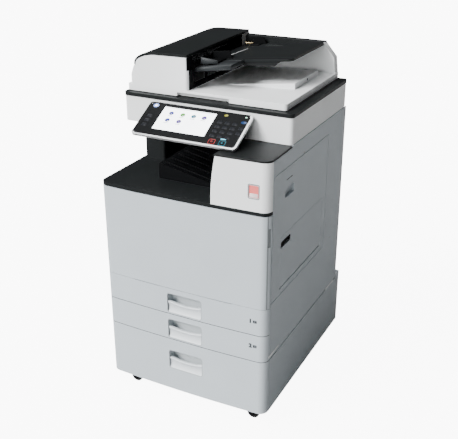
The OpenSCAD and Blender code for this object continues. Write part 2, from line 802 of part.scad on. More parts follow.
// ---- Document cover and feeder ----
adf_x0 = -half_w + 4;
adf_x1 = adf_x0 + feeder_w;
adf_y0 = scanner_y + 18;
adf_y1 = adf_y0 + feeder_d;
base_h = 20;
z_base = z_feeder + base_h;
lift_y = body_d + 10;
lift_z = z_feeder + 12;
lift_x = 190;
lift_pin_r = 4;
ear_r = 8;
lift_w = 24;
notch_x0 = 187 - half_w;
notch_x1 = 368 - half_w;

module adf_base() {
    color(white) place() {
        difference() {
            union() {
                difference() {
                    soft_block(adf_x0, adf_x1, adf_y0, adf_y1, z_feeder, z_base, 10);
                    soft_block(adf_x0 + wall, adf_x1 - wall, adf_y0 + wall, adf_y1 - wall,
                        z_feeder - 1, z_base - wall, 8);
                }
                for (s = [-1, 1]) {
                    block(s * lift_x - lift_w / 2, s * lift_x + lift_w / 2, adf_y1 - wall, lift_y,
                        lift_z - ear_r, lift_z + ear_r);
                    rod_x(s * lift_x - lift_w / 2, s * lift_x + lift_w / 2, lift_y, lift_z, ear_r);
                }
                stopper(0);
            }
            stopper(wall);
            for (s = [-1, 1]) rod_x(s * lift_x - lift_w, s * lift_x + lift_w, lift_y, lift_z,
                lift_pin_r + run);
            // Finger notch along the front edge
            soft_block(notch_x0, notch_x1, adf_y0 - 20, adf_y0 + 14, z_feeder - 1, z_feeder + 12, 4);
        }
        difference() {
            block(notch_x0 - wall, notch_x1 + wall, adf_y0 + wall - lap, adf_y0 + 14 + wall,
                z_feeder, z_base - wall + lap);
            soft_block(notch_x0, notch_x1, adf_y0 - 20, adf_y0 + 14, z_feeder - 1, z_feeder + 12, 4);
        }
    }
}

// Raised block that stops the originals at the end of their tray, drawn in by `i`
module stopper(i) {
    inner_x = stop_x0 + stop_taper * i;
    // The front edge is askew, so the hollow's corner moves back with it
    slope_y = stop_skew * (inner_x - stop_x0) / (stop_x1 - stop_x0);
    intersection() {
        translate([0, 0, z_base - 1 - i]) linear_extrude(24) polygon([[inner_x, stop_y0 - stop_skew + slope_y + i],
            [stop_x1 - i, stop_y0 + i], [stop_x1 - i, stop_y1 - i], [inner_x, stop_y1 - i]]);
        translate([0, body_d, z_base]) rotate([90, 0, 0]) linear_extrude(body_d)
            polygon([[stop_x0, -5], [stop_x0, 1 - i], [stop_x1, stop_h - 1 - i], [stop_x1, -5]]);
    }
}

stop_x0 = 300 - half_w;
stop_skew = 35;
stop_taper = 20;
stop_x1 = 513 - half_w;
stop_y0 = scanner_y + 185;
stop_y1 = adf_y1 - 84;
stop_h = 20;

module platen_pad() {
    color("#f3f4f2") place() soft_block(glass_x - glass_w / 2 + 2, glass_x + glass_w / 2 - 2,
        glass_y - glass_d / 2 + 22, glass_y + glass_d / 2 - 2, z_glass + 0.5, z_base - wall, 3);
}

// Feeder housing: its left flank leans in and its top is arched
house_x0 = adf_x0 + 12;
house_x1 = house_x0 + housing_w;
house_y1 = adf_y1;
arch_w = 76;
arch_h = 32;
arch_top = 99;
house_steps = 8;
rise_a = 0.6;

// The arched outline raised by `g`, from its foot at the left to its right end
function arch(g) = concat(
    [for (k = [0:house_steps]) let (a = 180 - 90 * k / house_steps)
        [house_x0 + 22 + arch_w + (arch_w + g) * cos(a), arch_top - arch_h + (arch_h + g) * sin(a)]],
    [[house_x1 - 4, arch_top + 2 + g]]);

// The solid under the arched outline, rising gently to the rear
module under_arch(g, x1, y0, y1, foot) {
    translate([0, adf_y0, z_base]) rotate([rise_a, 0, 0]) translate([0, y1 - adf_y0, 0])
        rotate([90, 0, 0]) linear_extrude(y1 - y0) intersection() {
            polygon(concat([[house_x0 + 22 - g, -60]], arch(g), [[house_x1 - 4, -60]]));
            translate([house_x0 - 40, foot]) square([x1 - house_x0 + 40, 200]);
        }
}

cover_y0 = adf_y0 + 6;
cover_y1 = adf_y1 - 28;
mouth_z = z_base + 58;
feed_x1 = house_x0 + 130;
feed_z = z_base + 62;
adf_roll_r = 12;
adf_shaft_r = 4;

module adf_housing() {
    color(white) place() {
        difference() {
            union() {
                intersection() {
                    soft_block(house_x0, house_x1, adf_y0, house_y1, z_base, z_base + 130, 10);
                    translate([0, house_y1, z_base]) rotate([90, 0, 0]) linear_extrude(feeder_d)
                        polygon([[house_x0, 0], [house_x0 + 3, 30], [house_x0 + 24, 82],
                            [house_x0 + 24, 140], [house_x1, 140], [house_x1, 0]]);
                    union() {
                        under_arch(0, house_x1 + 10, adf_y0 - 5, house_y1 + 5, -60);
                        block(house_x0, house_x1, adf_y0, house_y1, z_base, top_hinge_z - 0.5);
                    }
                }
                for (y = top_hinge_y, e = [-lug_l, barrel_l])
                    block(top_hinge_x, house_x0 + 24, y + e, y + e + lug_l,
                        top_hinge_z - top_hinge_r, top_hinge_z - 0.5);
                top_hinge(-lug_l, barrel_l + lug_l, top_hinge_r);
                // Rear wing that carries the far edge of the document tray
                translate([0, house_y1, z_base]) rotate([90, 0, 0]) linear_extrude(30)
                    polygon([[house_x1 - 12, 0], [house_x1 - 12, 98], [tray_x1 - 6, 98],
                        [tray_x1 - 2, 92], [tray_x1 + 33, 52], [adf_x1 - 4, 0]]);
            }
            // Space for the feed rollers under the top cover
            block(house_x0 + 34, house_x1 - 10, adf_y0 + 24, adf_y1 - 34, z_base + 8, z_base + 200);
            // Mouth that the originals enter and leave by
            block(house_x1 - 20, house_x1 + 1, adf_y0 + 40, adf_y1 - 60, z_base + 12, z_base + 200);
            rod_y(feed_x1, adf_y0 + 16, adf_y1 - 26, feed_z, adf_shaft_r + run);
            rod_y(tray_pin_x, tray_y1, tray_y1 + 15, tray_pin_z, tray_pin_r + run);
            top_hinge(-0.1, barrel_l + 0.1, top_hinge_r + 0.4);
        }
        top_hinge(-lug_l, barrel_l + lug_l, top_pin_r);
        // Post that carries the front end of the document tray's pin
        difference() {
            union() {
                block(house_x1 - 8, house_x1, tray_y0 - 9, tray_y0 - 3, z_base + 11.5, z_base + 76);
                block(house_x1 - 1, tray_pin_x + 6, tray_y0 - 9, tray_y0 - 3, z_base + 62, z_base + 76);
            }
            rod_y(tray_pin_x, tray_y0 - 10, tray_y0, tray_pin_z, tray_pin_r + run);
        }
    }
}

// Hinge of the top cover: barrels along its lower left edge, each between two lugs
top_hinge_x = house_x0 + 13;
top_hinge_z = z_base + 62;
top_hinge_r = 3;
top_pin_r = 1.5;
barrel_l = 30;
lug_l = 8;
top_hinge_y = [cover_y0 + 40, cover_y1 - 60];

module top_hinge(from, to, r) {
    for (y = top_hinge_y) rod_y(top_hinge_x, y + from, y + to, top_hinge_z, r);
}

module adf_top_cover() {
    color(dark) place() difference() {
        union() {
            difference() {
                under_arch(9, house_x1 - 4, cover_y0, cover_y1 + 24, 40);
                under_arch(0.6, house_x1 + 30, adf_y0 - 30, house_y1 + 30, -60);
                block(house_x0 - 40, house_x1 + 40, adf_y0, house_y1 + 40, 0, top_hinge_z);
                for (e = [-lug_l, barrel_l]) top_hinge(e - 0.4, e + lug_l + 0.4, top_hinge_r + 0.4);
            }
            top_hinge(0.4, barrel_l - 0.4, top_hinge_r);
        }
        top_hinge(-1, barrel_l + 1, top_pin_r + run);
    }
}

// ---- Document tray and its guides ----
tray_x0 = house_x1 + 4;
tray_x1 = 514 - half_w;
tray_y0 = scanner_y + 153;
tray_y1 = adf_y1 - 31;
tray_t = 8;
tray_knee = 312 - half_w;
tray_pin_x = tray_x0 + 6;
tray_pin_z = z_base + 68.5;
tray_pin_r = 3;

// Height of the tray's top above the feeder's base at `x`
function tray_top(x) = x < tray_knee ? 72 + 8 * (x - tray_x0) / (tray_knee - tray_x0)
    : 80 + 22 * (x - tray_knee) / (tray_x1 - tray_knee);

module document_tray() {
    color(dark) place() {
        intersection() {
            translate([0, tray_y1, z_base]) rotate([90, 0, 0]) linear_extrude(tray_y1 - tray_y0)
                polygon([[tray_x0, tray_top(tray_x0)], [tray_knee, tray_top(tray_knee)],
                    [tray_x1, tray_top(tray_x1)], [tray_x1, tray_top(tray_x1) - tray_t],
                    [tray_knee, tray_top(tray_knee) - tray_t], [tray_x0, tray_top(tray_x0) - tray_t]]);
            soft_block(tray_x0 - 30, tray_x1, tray_y0, tray_y1, z_base, z_base + 200, 18);
        }
        rod_y(tray_pin_x, tray_y0 - 9, tray_y1 + 14, tray_pin_z, tray_pin_r);
        // Folded edge under the front of the tray
        translate([0, tray_y0 + 9, z_base]) rotate([90, 0, 0]) linear_extrude(5)
            polygon([[tray_x0 + 6, tray_top(tray_x0) - tray_t + 2],
                [tray_knee, tray_top(tray_knee) - tray_t + 2], [tray_x1 - 40, 89],
                [tray_x1 - 60, 72], [tray_knee, 62], [tray_x0 + 6, 54]]);
    }
}

guide_h = 24;
guide_x0 = tray_x0 + 8;
guide_x1 = tray_knee - 6;

module guide(y) {
    color(black) place() translate([0, y + 2, z_base]) rotate([90, 0, 0]) linear_extrude(4)
        polygon([[guide_x0, tray_top(guide_x0) + 0.3], [guide_x1, tray_top(guide_x1) + 0.3],
            [guide_x1 - 10, tray_top(guide_x1) + guide_h], [guide_x0, tray_top(guide_x0) + guide_h]]);
}

module front_guide() { guide(tray_y0 + 14); }
module rear_guide() { guide(tray_y1 - 14); }

module adf_feed_roller() {
    color(grey) place() {
        rod_y(feed_x1, adf_y0 + 18, adf_y1 - 28, feed_z, adf_shaft_r);
        for (y = [120, 190, 260]) rod_y(feed_x1, adf_y0 + y, adf_y0 + y + 40, feed_z, adf_roll_r);
    }
}

module adf_hinges() {
    color(steel) place() for (s = [-1, 1]) translate([s * lift_x, 0, 0]) {
        for (t = [-1, 1]) block(t > 0 ? lift_w / 2 + 1 : -lift_w / 2 - 4,
            t > 0 ? lift_w / 2 + 4 : -lift_w / 2 - 1, body_d, lift_y + 9, z_scanner + 20, lift_z + 9);
        block(-lift_w / 2 - 4, lift_w / 2 + 4, body_d, body_d + 3, z_scanner + 20, z_rim - 4);
        rod_x(-lift_w / 2 - 4, lift_w / 2 + 4, lift_y, lift_z, lift_pin_r);
    }
}

// ---- Operation panel ----
panel_x = -6;
panel_y = 86.5;
panel_z = z_scanner + 44.5;
panel_rim = 8;
bezel = 6;
glass_depth = 2;
pivot_y = 40;
pivot_z = -15;
pivot_r = 4;
boss_r = 6;
arm_y = 126;
arm_z0 = z_scanner + 4;
arm_z1 = z_scanner + 24;
// The pivot in the machine's own frame
pivot_at = [panel_y + pivot_y * cos(panel_tilt) - pivot_z * sin(panel_tilt),
    panel_z + pivot_y * sin(panel_tilt) + pivot_z * cos(panel_tilt)];
key_r = 7.5;
stop_at = [94, -54];
start_at = [128, -54];

// Places a part on the panel's sloping face, which lies in its XY plane
module on_panel() {
    place() translate([panel_x, panel_y, panel_z]) rotate([panel_tilt, 0, 0]) children();
}

module panel_body() {
    color(grey) on_panel() difference() {
        union() {
            translate([0, 0, -panel_rim]) linear_extrude(panel_rim) soft_rect(panel_w, panel_h, 12);
            translate([0, 6, -24]) linear_extrude(17) soft_rect(panel_w - 50, panel_h - 56, 10);
        }
        translate([0, 0, -glass_depth]) linear_extrude(5)
            soft_rect(panel_w - 2 * bezel, panel_h - 2 * bezel, 9);
        for (p = [stop_at, start_at]) translate([p[0], p[1], -7]) cylinder(h = 10, r = key_r + 0.3);
        // Slot for the arm's pivot
        block(-62, 62, pivot_y - 14, pivot_y + 20, -25, -panel_rim);
        rod_x(-72, 72, pivot_y, pivot_z, pivot_r + run);
    }
}

module panel_glass() {
    color(black) on_panel() difference() {
        translate([0, 0, -glass_depth]) linear_extrude(glass_depth)
            soft_rect(panel_w - 2 * bezel - 0.4, panel_h - 2 * bezel - 0.4, 9);
        translate([screen_x, screen_y, -1]) linear_extrude(2) soft_rect(screen_w, screen_h, 1.5);
        for (p = [stop_at, start_at]) translate([p[0], p[1], -7]) cylinder(h = 10, r = key_r + 0.3);
    }
}

screen_x = -28.5;
screen_y = 9;

module panel_screen() {
    color("#f4f7fb") on_panel() translate([screen_x, screen_y, -1]) linear_extrude(0.9)
        soft_rect(screen_w - 0.3, screen_h - 0.3, 1.5);
}

module key_at(p) {
    on_panel() translate([p[0], p[1], -5.4]) cylinder(h = 6.6, r = key_r);
}

module stop_key() { color("#c3463f") key_at(stop_at); }
module start_key() { color("#2f8f96") key_at(start_at); }

module panel_arm() {
    color(black) place() {
        difference() {
            block(-150, 140, arm_y, scanner_y, arm_z0, arm_z1);
            block(-150 + wall, 140 - wall, arm_y + wall, scanner_y + 1, arm_z0 + wall, arm_z1 - wall);
        }
        translate([panel_x, 0, 0]) {
            for (s = [-1, 1]) {
                block(s * 50 - 5, s * 50 + 5, pivot_at[0] - boss_r, pivot_at[0] + boss_r + 1,
                    arm_z1 - 1, pivot_at[1]);
                rod_x(s * 50 - 5, s * 50 + 5, pivot_at[0], pivot_at[1], boss_r);
            }
            rod_x(-68, 68, pivot_at[0], pivot_at[1], pivot_r);
        }
    }
}

// ---- Engine ----
module shaft_roller(x, z, r, shaft_r, y0, y1) {
    rod_y(x, frame_y0 - 6, frame_rear + sheet + 8, z, shaft_r);
    rod_y(x, y0, y1, z, r);
}

module drum() {
    color("#3f7f78") place() {
        shaft_roller(drum_x, drum_z, drum_r, drum_shaft_r, 90, 450);
        rod_y(drum_x, 470, 486, drum_z, 38);
    }
}

module fuser_housing() {
    color(grey) place() difference() {
        block(heat_x - 34, press_x + 32, 60, frame_rear, fuser_z - 32, fuser_z + 30);
        block(heat_x - 30, press_x + 28, 66, frame_rear - 6, fuser_z - 28, fuser_z + 26);
        block(heat_x + 14, press_x - 14, 80, frame_rear - 20, fuser_z - 40, fuser_z + 40);
        for (x = [heat_x, press_x]) rod_y(x, 0, body_d, fuser_z, fuser_shaft_r + run);
    }
}

module heat_roller() {
    color("#7c5a3c") place() {
        rod_y(heat_x, 56, frame_rear + sheet + 8, fuser_z, fuser_shaft_r);
        rod_y(heat_x, 80, 440, fuser_z, fuser_r);
    }
}

module pressure_roller() {
    color("#9a9a96") place() {
        rod_y(press_x, 56, frame_rear + sheet + 8, fuser_z, fuser_shaft_r);
        rod_y(press_x, 80, 440, fuser_z, fuser_r);
    }
}

module toner_bottle() {
    color("#3a3d42") place() {
        rod_y(bottle_x, frame_y0 + 1, 400, bottle_z, bottle_r);
        rod_y(bottle_x, 399, 424, bottle_z, 22);
        rod_y(bottle_x, frame_y0 - 6, frame_y0 + 2, bottle_z, 30);
    }
}

module developer_unit() {
    color("#4d5156") place() difference() {
        union() {
            block(drum_x - 108, drum_x - 34, frame_y0 + sheet, frame_rear, drum_z - 30, drum_z + 30);
            block(drum_x - 100, drum_x - 70, 430, 470, drum_z + 29, bottle_z - 30);
            block(bottle_x + 49, drum_x - 70, 430, 470, bottle_z - 56, bottle_z - 20);
            // Cradle that the bottle lies in
            block(bottle_x - 50, bottle_x + 50, frame_y0 + sheet, frame_rear,
                bottle_z - 56, bottle_z - 20);
        }
        rod_y(bottle_x, 0, 424.5, bottle_z, bottle_r + 0.3);
        block(drum_x - 60, drum_x - 30, 85, 455, drum_z - 22, drum_z + 22);
        rod_y(drum_x, 80, 500, drum_z, 40);
    }
}

module laser_unit() {
    color("#55585c") place() difference() {
        union() {
            block(-230, -40, 110, 470, engine_z + sheet + 60, engine_z + sheet + 110);
            for (x = [-225, -60], y = [120, 450])
                block(x, x + 12, y, y + 12, engine_z + sheet, engine_z + sheet + 61);
        }
        block(-226, -44, 114, 466, engine_z + sheet + 63, engine_z + sheet + 107);
        block(-45, -30, 130, 450, engine_z + sheet + 80, engine_z + sheet + 90);
    }
}

module drive_motor() {
    color(steel) place() {
        rod_y(drum_x + 62, frame_rear - 46, frame_rear, drum_z - 16, 24);
        rod_y(drum_x + 62, frame_rear - 60, frame_rear - 45, drum_z - 16, 4);
    }
}

module power_supply() {
    color("#6b8f5f") place() difference() {
        block(-250, -60, frame_rear - 130, frame_rear, engine_z + sheet, engine_z + sheet + 50);
        block(-246, -64, frame_rear - 126, frame_rear - 4, engine_z + sheet + 3, engine_z + sheet + 60);
    }
}

module power_inlet() {
    color(black) place() difference() {
        union() {
            block(inlet_x - inlet_w / 2 + 0.2, inlet_x + inlet_w / 2 - 0.2, frame_rear + sheet,
                body_d, inlet_z - inlet_h / 2 + 0.2, inlet_z + inlet_h / 2 - 0.2);
        }
        block(inlet_x - 13, inlet_x + 13, body_d - 10, body_d + 1, inlet_z - 8, inlet_z + 8);
        for (x = [-7, 7]) rod_y(inlet_x + x, body_d - 12, body_d, inlet_z, 2.5);
    }
}

module fan_rotor() {
    color(black) place() {
        rod_y(fan_x, frame_rear - 4, frame_rear + sheet + 8, fan_z, 13);
        for (k = [0:6]) translate([fan_x, frame_rear + sheet + 6, fan_z]) rotate([90, 360 * k / 7, 0])
            linear_extrude(8) translate([12, -2]) square([fan_r - 13, 4]);
        rod_y(fan_x, frame_rear + sheet + 7, body_d - wall, fan_z, 3);
    }
}

// Screws in the right and rear covers
module cover_screws() {
    color(steel) place() {
        side_screws(screw_r, 0.4);
        rear_screws(screw_r, 0.8);
    }
}

main_frame();
cabinet_shell();
left_cover();
rear_cover();
right_cover();
top_deck();
exit_tray();
rear_column();
module_cover();
module_shelf();
scanner_housing();
scanner_rim();
exposure_glass();
lens_block();
panel_arm();
fuser_housing();
laser_unit();
developer_unit();
drive_motor();
power_supply();
power_inlet();
rear_caster_forks();
cover_screws();
power_switch();
lamp_carriage();
mirror_carriage();
adf_base();
platen_pad();
adf_housing();
adf_hinges();
adf_top_cover();
document_tray();
front_guide();
rear_guide();
adf_feed_roller();
panel_body();
panel_glass();
panel_screen();
stop_key();
start_key();
front_cover();
right_door();
bypass_tray();
tray_1();
tray_2();
tray_3();
feed_roller_1();
feed_roller_2();
feed_roller_3();
drum();
toner_bottle();
heat_roller();
pressure_roller();
fan_rotor();
left_caster_fork();
right_caster_fork();
left_front_wheel();
right_front_wheel();
left_rear_wheel();
right_rear_wheel();
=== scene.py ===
"""Looks of a floor-standing photocopier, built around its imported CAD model.

Every piece that shows is a softened copy of its CAD part, with the seams, keys, ribs, marks and
screws that such a machine has. Units are metres, front towards -Y.
"""

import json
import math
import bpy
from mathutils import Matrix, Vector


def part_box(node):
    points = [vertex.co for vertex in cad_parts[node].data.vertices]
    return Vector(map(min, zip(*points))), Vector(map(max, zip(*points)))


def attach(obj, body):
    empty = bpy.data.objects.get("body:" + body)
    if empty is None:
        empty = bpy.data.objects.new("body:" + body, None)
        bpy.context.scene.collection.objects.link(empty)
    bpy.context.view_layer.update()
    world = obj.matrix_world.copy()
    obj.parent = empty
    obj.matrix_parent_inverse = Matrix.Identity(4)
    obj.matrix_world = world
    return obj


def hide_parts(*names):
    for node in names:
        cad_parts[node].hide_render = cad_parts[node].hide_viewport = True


bl_info = {
    "name": "Photocopier Looks",
    "version": (1, 0, 0),
    "blender": (4, 5, 0),
    "location": "3D View > Sidebar > Photocopier",
    "description": "Finishes, marks and small pieces of an office photocopier",
    "category": "Object",
}

import bmesh
import bpy
from bpy.props import FloatProperty, FloatVectorProperty, PointerProperty
from mathutils import Matrix, Vector

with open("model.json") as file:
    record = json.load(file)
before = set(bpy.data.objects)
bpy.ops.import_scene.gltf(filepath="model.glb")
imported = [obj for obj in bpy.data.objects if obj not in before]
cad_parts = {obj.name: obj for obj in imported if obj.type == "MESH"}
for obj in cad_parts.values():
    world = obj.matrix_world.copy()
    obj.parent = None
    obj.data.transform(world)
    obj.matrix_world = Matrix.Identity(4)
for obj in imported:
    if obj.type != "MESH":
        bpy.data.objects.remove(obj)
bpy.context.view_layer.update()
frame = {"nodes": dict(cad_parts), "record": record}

MM = 0.001


# ---------------------------------------------------------------- settings

class CopierSizes(bpy.types.PropertyGroup):
    """Sizes that a user may change without touching the CAD."""
    edge_round: FloatProperty(name="Edge round", description="Rounding of moulded edges",
                              default=1.6 * MM, min=0.2 * MM, max=4 * MM, unit="LENGTH")
    key_size: FloatProperty(name="Key size", description="Width of a number key",
                            default=17 * MM, min=8 * MM, max=20 * MM, unit="LENGTH")
    mark_size: FloatProperty(name="Drawer mark", description="Height of a drawer's number",
                             default=13.5 * MM, min=4 * MM, max=20 * MM, unit="LENGTH")
    grain: FloatProperty(name="Grain", description="Depth of the moulded plastic's grain",
                         default=0.12, min=0.0, max=1.0)


class CopierColours(bpy.types.PropertyGroup):
    """Colours of the main finishes."""
    bright: FloatVectorProperty(name="Bright shell", description="Scanner and feeder plastic",
                                default=(0.88, 0.90, 0.905), subtype="COLOR", min=0, max=1)
    cool: FloatVectorProperty(name="Cool shell", description="Covers and drawers",
                              default=(0.49, 0.54, 0.575), subtype="COLOR", min=0, max=1)
    dark: FloatVectorProperty(name="Dark trim", description="Deck, rim and top covers",
                              default=(0.0095, 0.011, 0.0115), subtype="COLOR", min=0, max=1)
    screen: FloatVectorProperty(name="Screen", description="Lit background of the touch screen",
                                default=(0.93, 0.96, 1.0), subtype="COLOR", min=0, max=1)


def sizes():
    return bpy.context.scene.copier_sizes


def colours():
    return bpy.context.scene.copier_colours


# ---------------------------------------------------------------- materials

MATERIALS = {}


def new_material(name):
    """A node material, kept by name; returns its nodes, its links and its shader."""
    material = bpy.data.materials.new(name)
    material.use_nodes = True
    MATERIALS[name] = material
    nodes = material.node_tree.nodes
    return nodes, material.node_tree.links, nodes["Principled BSDF"]


def object_noise(nodes, links, scale, detail=3.0, stretch=(1, 1, 1)):
    """A noise texture on Object coordinates; returns its factor output."""
    coords = nodes.new("ShaderNodeTexCoord")
    mapping = nodes.new("ShaderNodeMapping")
    mapping.inputs["Scale"].default_value = stretch
    noise = nodes.new("ShaderNodeTexNoise")
    noise.inputs["Scale"].default_value = scale
    noise.inputs["Detail"].default_value = detail
    links.new(coords.outputs["Object"], mapping.inputs["Vector"])
    links.new(mapping.outputs["Vector"], noise.inputs["Vector"])
    return noise.outputs["Fac"]


def remap(nodes, links, value, low, high):
    """Maps a 0 to 1 factor onto a range."""
    span = nodes.new("ShaderNodeMapRange")
    span.inputs["To Min"].default_value = low
    span.inputs["To Max"].default_value = high
    links.new(value, span.inputs["Value"])
    return span.outputs["Result"]


def tint(nodes, links, value, colour, spread):
    """A colour that varies a little in lightness with a factor."""
    ramp = nodes.new("ShaderNodeValToRGB")
    for stop, share in zip(ramp.color_ramp.elements, (1 - spread, 1 + spread)):
        stop.color = (*[min(1, c * share) for c in colour], 1)
    ramp.color_ramp.elements[0].position = 0.35
    ramp.color_ramp.elements[1].position = 0.65
    links.new(value, ramp.inputs["Fac"])
    return ramp.outputs["Color"]


def surface(nodes, links, shader, value, colour, spread, low, high):
    """Lets one factor vary a shader's colour and roughness together."""
    links.new(tint(nodes, links, value, colour, spread), shader.inputs["Base Color"])
    links.new(remap(nodes, links, value, low, high), shader.inputs["Roughness"])


def bump(nodes, links, shader, height, strength, distance):
    """Adds a bump to a shader, which keeps its own strength and depth."""
    node = nodes.new("ShaderNodeBump")
    node.inputs["Strength"].default_value = strength
    node.inputs["Distance"].default_value = distance
    links.new(height, node.inputs["Height"])
    links.new(node.outputs["Normal"], shader.inputs["Normal"])


def moulded(name, colour, rough=0.45, grain_scale=900, spread=0.015, depth=None, specular=0.4):
    """Moulded plastic: a fine spark-eroded grain, slight mottling and uneven gloss."""
    nodes, links, shader = new_material(name)
    shader.inputs["Specular IOR Level"].default_value = specular
    cloud = object_noise(nodes, links, 6, 2)
    links.new(tint(nodes, links, cloud, colour, spread), shader.inputs["Base Color"])
    fine = object_noise(nodes, links, grain_scale, 2)
    links.new(remap(nodes, links, fine, rough - 0.05, rough + 0.07), shader.inputs["Roughness"])
    bump(nodes, links, shader, fine, sizes().grain if depth is None else depth, 0.0004)


def glossy(name, colour, rough=0.08):
    """Polished plastic or glass front with faint smears in its gloss."""
    nodes, links, shader = new_material(name)
    shader.inputs["Specular IOR Level"].default_value = 0.5
    shader.inputs["Coat Weight"].default_value = 0.3
    shader.inputs["Coat Roughness"].default_value = 0.04
    smear = object_noise(nodes, links, 14, 4, (1, 3, 1))
    surface(nodes, links, shader, smear, colour, 0.04, rough * 0.6, rough * 1.8)


def metal(name, colour, rough=0.3, brush=(1, 1, 40)):
    """Brushed or plated metal with fine streaks along one direction."""
    nodes, links, shader = new_material(name)
    shader.inputs["Metallic"].default_value = 1.0
    streak = object_noise(nodes, links, 60, 5, brush)
    surface(nodes, links, shader, streak, colour, 0.06, rough - 0.08, rough + 0.12)
    bump(nodes, links, shader, streak, 0.08, 0.0002)


def rubber(name, colour, rough=0.75):
    """Soft rubber with a random dusty mottling."""
    nodes, links, shader = new_material(name)
    shader.inputs["Specular IOR Level"].default_value = 0.25
    dust = object_noise(nodes, links, 90, 5)
    surface(nodes, links, shader, dust, colour, 0.25, rough - 0.1, rough + 0.12)
    bump(nodes, links, shader, dust, 0.2, 0.0003)


def lit(name, colour, strength):
    """A lit or printed mark whose light is a little uneven."""
    nodes, links, shader = new_material(name)
    shader.inputs["Roughness"].default_value = 0.2
    shader.inputs["Emission Strength"].default_value = strength
    glow = object_noise(nodes, links, 25, 1)
    shade = tint(nodes, links, glow, colour, 0.03)
    links.new(shade, shader.inputs["Base Color"])
    links.new(shade, shader.inputs["Emission Color"])


def clear_glass(name):
    """Float glass with a faint green edge tint."""
    nodes, links, shader = new_material(name)
    shader.inputs["Transmission Weight"].default_value = 1.0
    shader.inputs["IOR"].default_value = 1.5
    haze = object_noise(nodes, links, 20, 2)
    surface(nodes, links, shader, haze, (0.9, 0.97, 0.95), 0.02, 0.01, 0.05)


def make_materials():
    """All finishes of the machine."""
    tone = colours()
    moulded("bright_shell", tone.bright, 0.42)
    moulded("cool_shell", tone.cool, 0.46)
    moulded("dark_shell", tone.dark, 0.42, 700, 0.05, specular=0.13)
    moulded("black_plastic", (0.0022, 0.0025, 0.003), 0.5, 700, 0.08, specular=0.08)
    moulded("guide_plastic", (0.022, 0.025, 0.027), 0.45, 700, 0.06, specular=0.2)
    moulded("grey_plastic", (0.22, 0.24, 0.25), 0.5)
    # The handle pockets' finish is painted light, lighter than the covers; the scanner scales' printed
    # ticks share it.
    moulded("pocket_light_and_ticks", (0.56, 0.60, 0.62), 0.55)
    moulded("seam_shadow", (0.03, 0.032, 0.034), 0.8, 400)
    moulded("pad_vinyl", (0.86, 0.87, 0.84), 0.6, 1400)
    moulded("toner_plastic", (0.02, 0.021, 0.024), 0.5)
    moulded("board_green", (0.06, 0.20, 0.10), 0.45)
    moulded("drum_coating", (0.03, 0.20, 0.18), 0.2, 60, 0.03, 0.0)
    moulded("dim_print", (0.012, 0.013, 0.016), 0.4, 900, specular=0.1)
    moulded("rim_line", (0.34, 0.37, 0.39), 0.5)
    # Painted light: the handles' scoops get a finish lighter than the drawer fronts, as if lit.
    moulded("handle_painted_light", (0.66, 0.70, 0.73), 0.4)
    moulded("mark_print", (0.006, 0.007, 0.009), 0.7, 900, specular=0.1)
    moulded("panel_black", (0.0045, 0.005, 0.0055), 0.36, 700, 0.06, 0.0, 0.06)
    glossy("switch_red", (0.80, 0.16, 0.15), 0.12)
    glossy("switch_pale", (0.86, 0.72, 0.72), 0.2)
    metal("sheet_steel", (0.55, 0.56, 0.57), 0.38)
    metal("silver_bezel", (0.72, 0.73, 0.74), 0.3, (20, 1, 1))
    metal("screw_steel", (0.62, 0.62, 0.60), 0.3, (1, 1, 1))
    metal("gold_tab", (0.72, 0.58, 0.32), 0.35, (1, 8, 1))
    rubber("tyre_rubber", (0.012, 0.012, 0.013))
    rubber("roller_rubber", (0.10, 0.105, 0.11), 0.6)
    clear_glass("float_glass")
    lit("screen_white", tone.screen, 4.0)
    lit("caption_grey", (0.07, 0.08, 0.11), 0.05)
    lit("icon_blue", (0.008, 0.016, 0.22), 0.03)
    lit("icon_green", (0.04, 0.26, 0.005), 0.05)
    lit("icon_teal", (0.003, 0.11, 0.16), 0.03)
    lit("icon_violet", (0.05, 0.01, 0.20), 0.03)
    lit("icon_shine", (0.75, 0.80, 0.95), 0.5)
    lit("key_home", (0.28, 0.38, 0.85), 0.4)
    lit("key_amber", (0.26, 0.25, 0.03), 0.05)
    lit("key_blue", (0.012, 0.04, 0.12), 0.05)
    lit("key_red", (0.40, 0.03, 0.03), 0.1)
    lit("key_teal", (0.01, 0.15, 0.20), 0.12)
    lit("bar_cyan", (0.15, 0.62, 0.85), 0.9)
    lit("lamp_green", (0.55, 1.0, 0.75), 1.2)


def finish_of(obj, name):
    """Gives an object one material on all its faces."""
    obj.data.materials.clear()
    obj.data.materials.append(MATERIALS[name])
    for face in obj.data.polygons:
        face.material_index = 0


# ---------------------------------------------------------------- mesh helpers

def add_object(name, data):
    obj = bpy.data.objects.new(name, data)
    bpy.context.scene.collection.objects.link(obj)
    return obj


def from_bmesh(name, form):
    mesh = bpy.data.meshes.new(name)
    form.to_mesh(mesh)
    form.free()
    return add_object(name, mesh)


def smooth(obj, angle=32):
    """Shades smooth and marks edges past an angle as sharp."""
    form = bmesh.new()
    form.from_mesh(obj.data)
    limit = math.radians(angle)
    for face in form.faces:
        face.smooth = True
    for edge in form.edges:
        edge.smooth = len(edge.link_faces) == 2 and edge.calc_face_angle(0) < limit
    form.to_mesh(obj.data)
    form.free()


def apply_modifiers(obj):
    """Makes the evaluated result the object's plain mesh."""
    graph = bpy.context.evaluated_depsgraph_get()
    mesh = bpy.data.meshes.new_from_object(obj.evaluated_get(graph))
    old = obj.data
    obj.modifiers.clear()
    obj.data = mesh
    bpy.data.meshes.remove(old)


def round_edges(obj, width, segments=2, angle=40):
    """Rounds the edges that turn more than an angle."""
    bevel = obj.modifiers.new("round", "BEVEL")
    bevel.width = width
    bevel.segments = segments
    bevel.limit_method = "ANGLE"
    bevel.angle_limit = math.radians(angle)
    bevel.use_clamp_overlap = True
    bevel.harden_normals = True
    bevel.miter_outer = "MITER_ARC"
    apply_modifiers(obj)


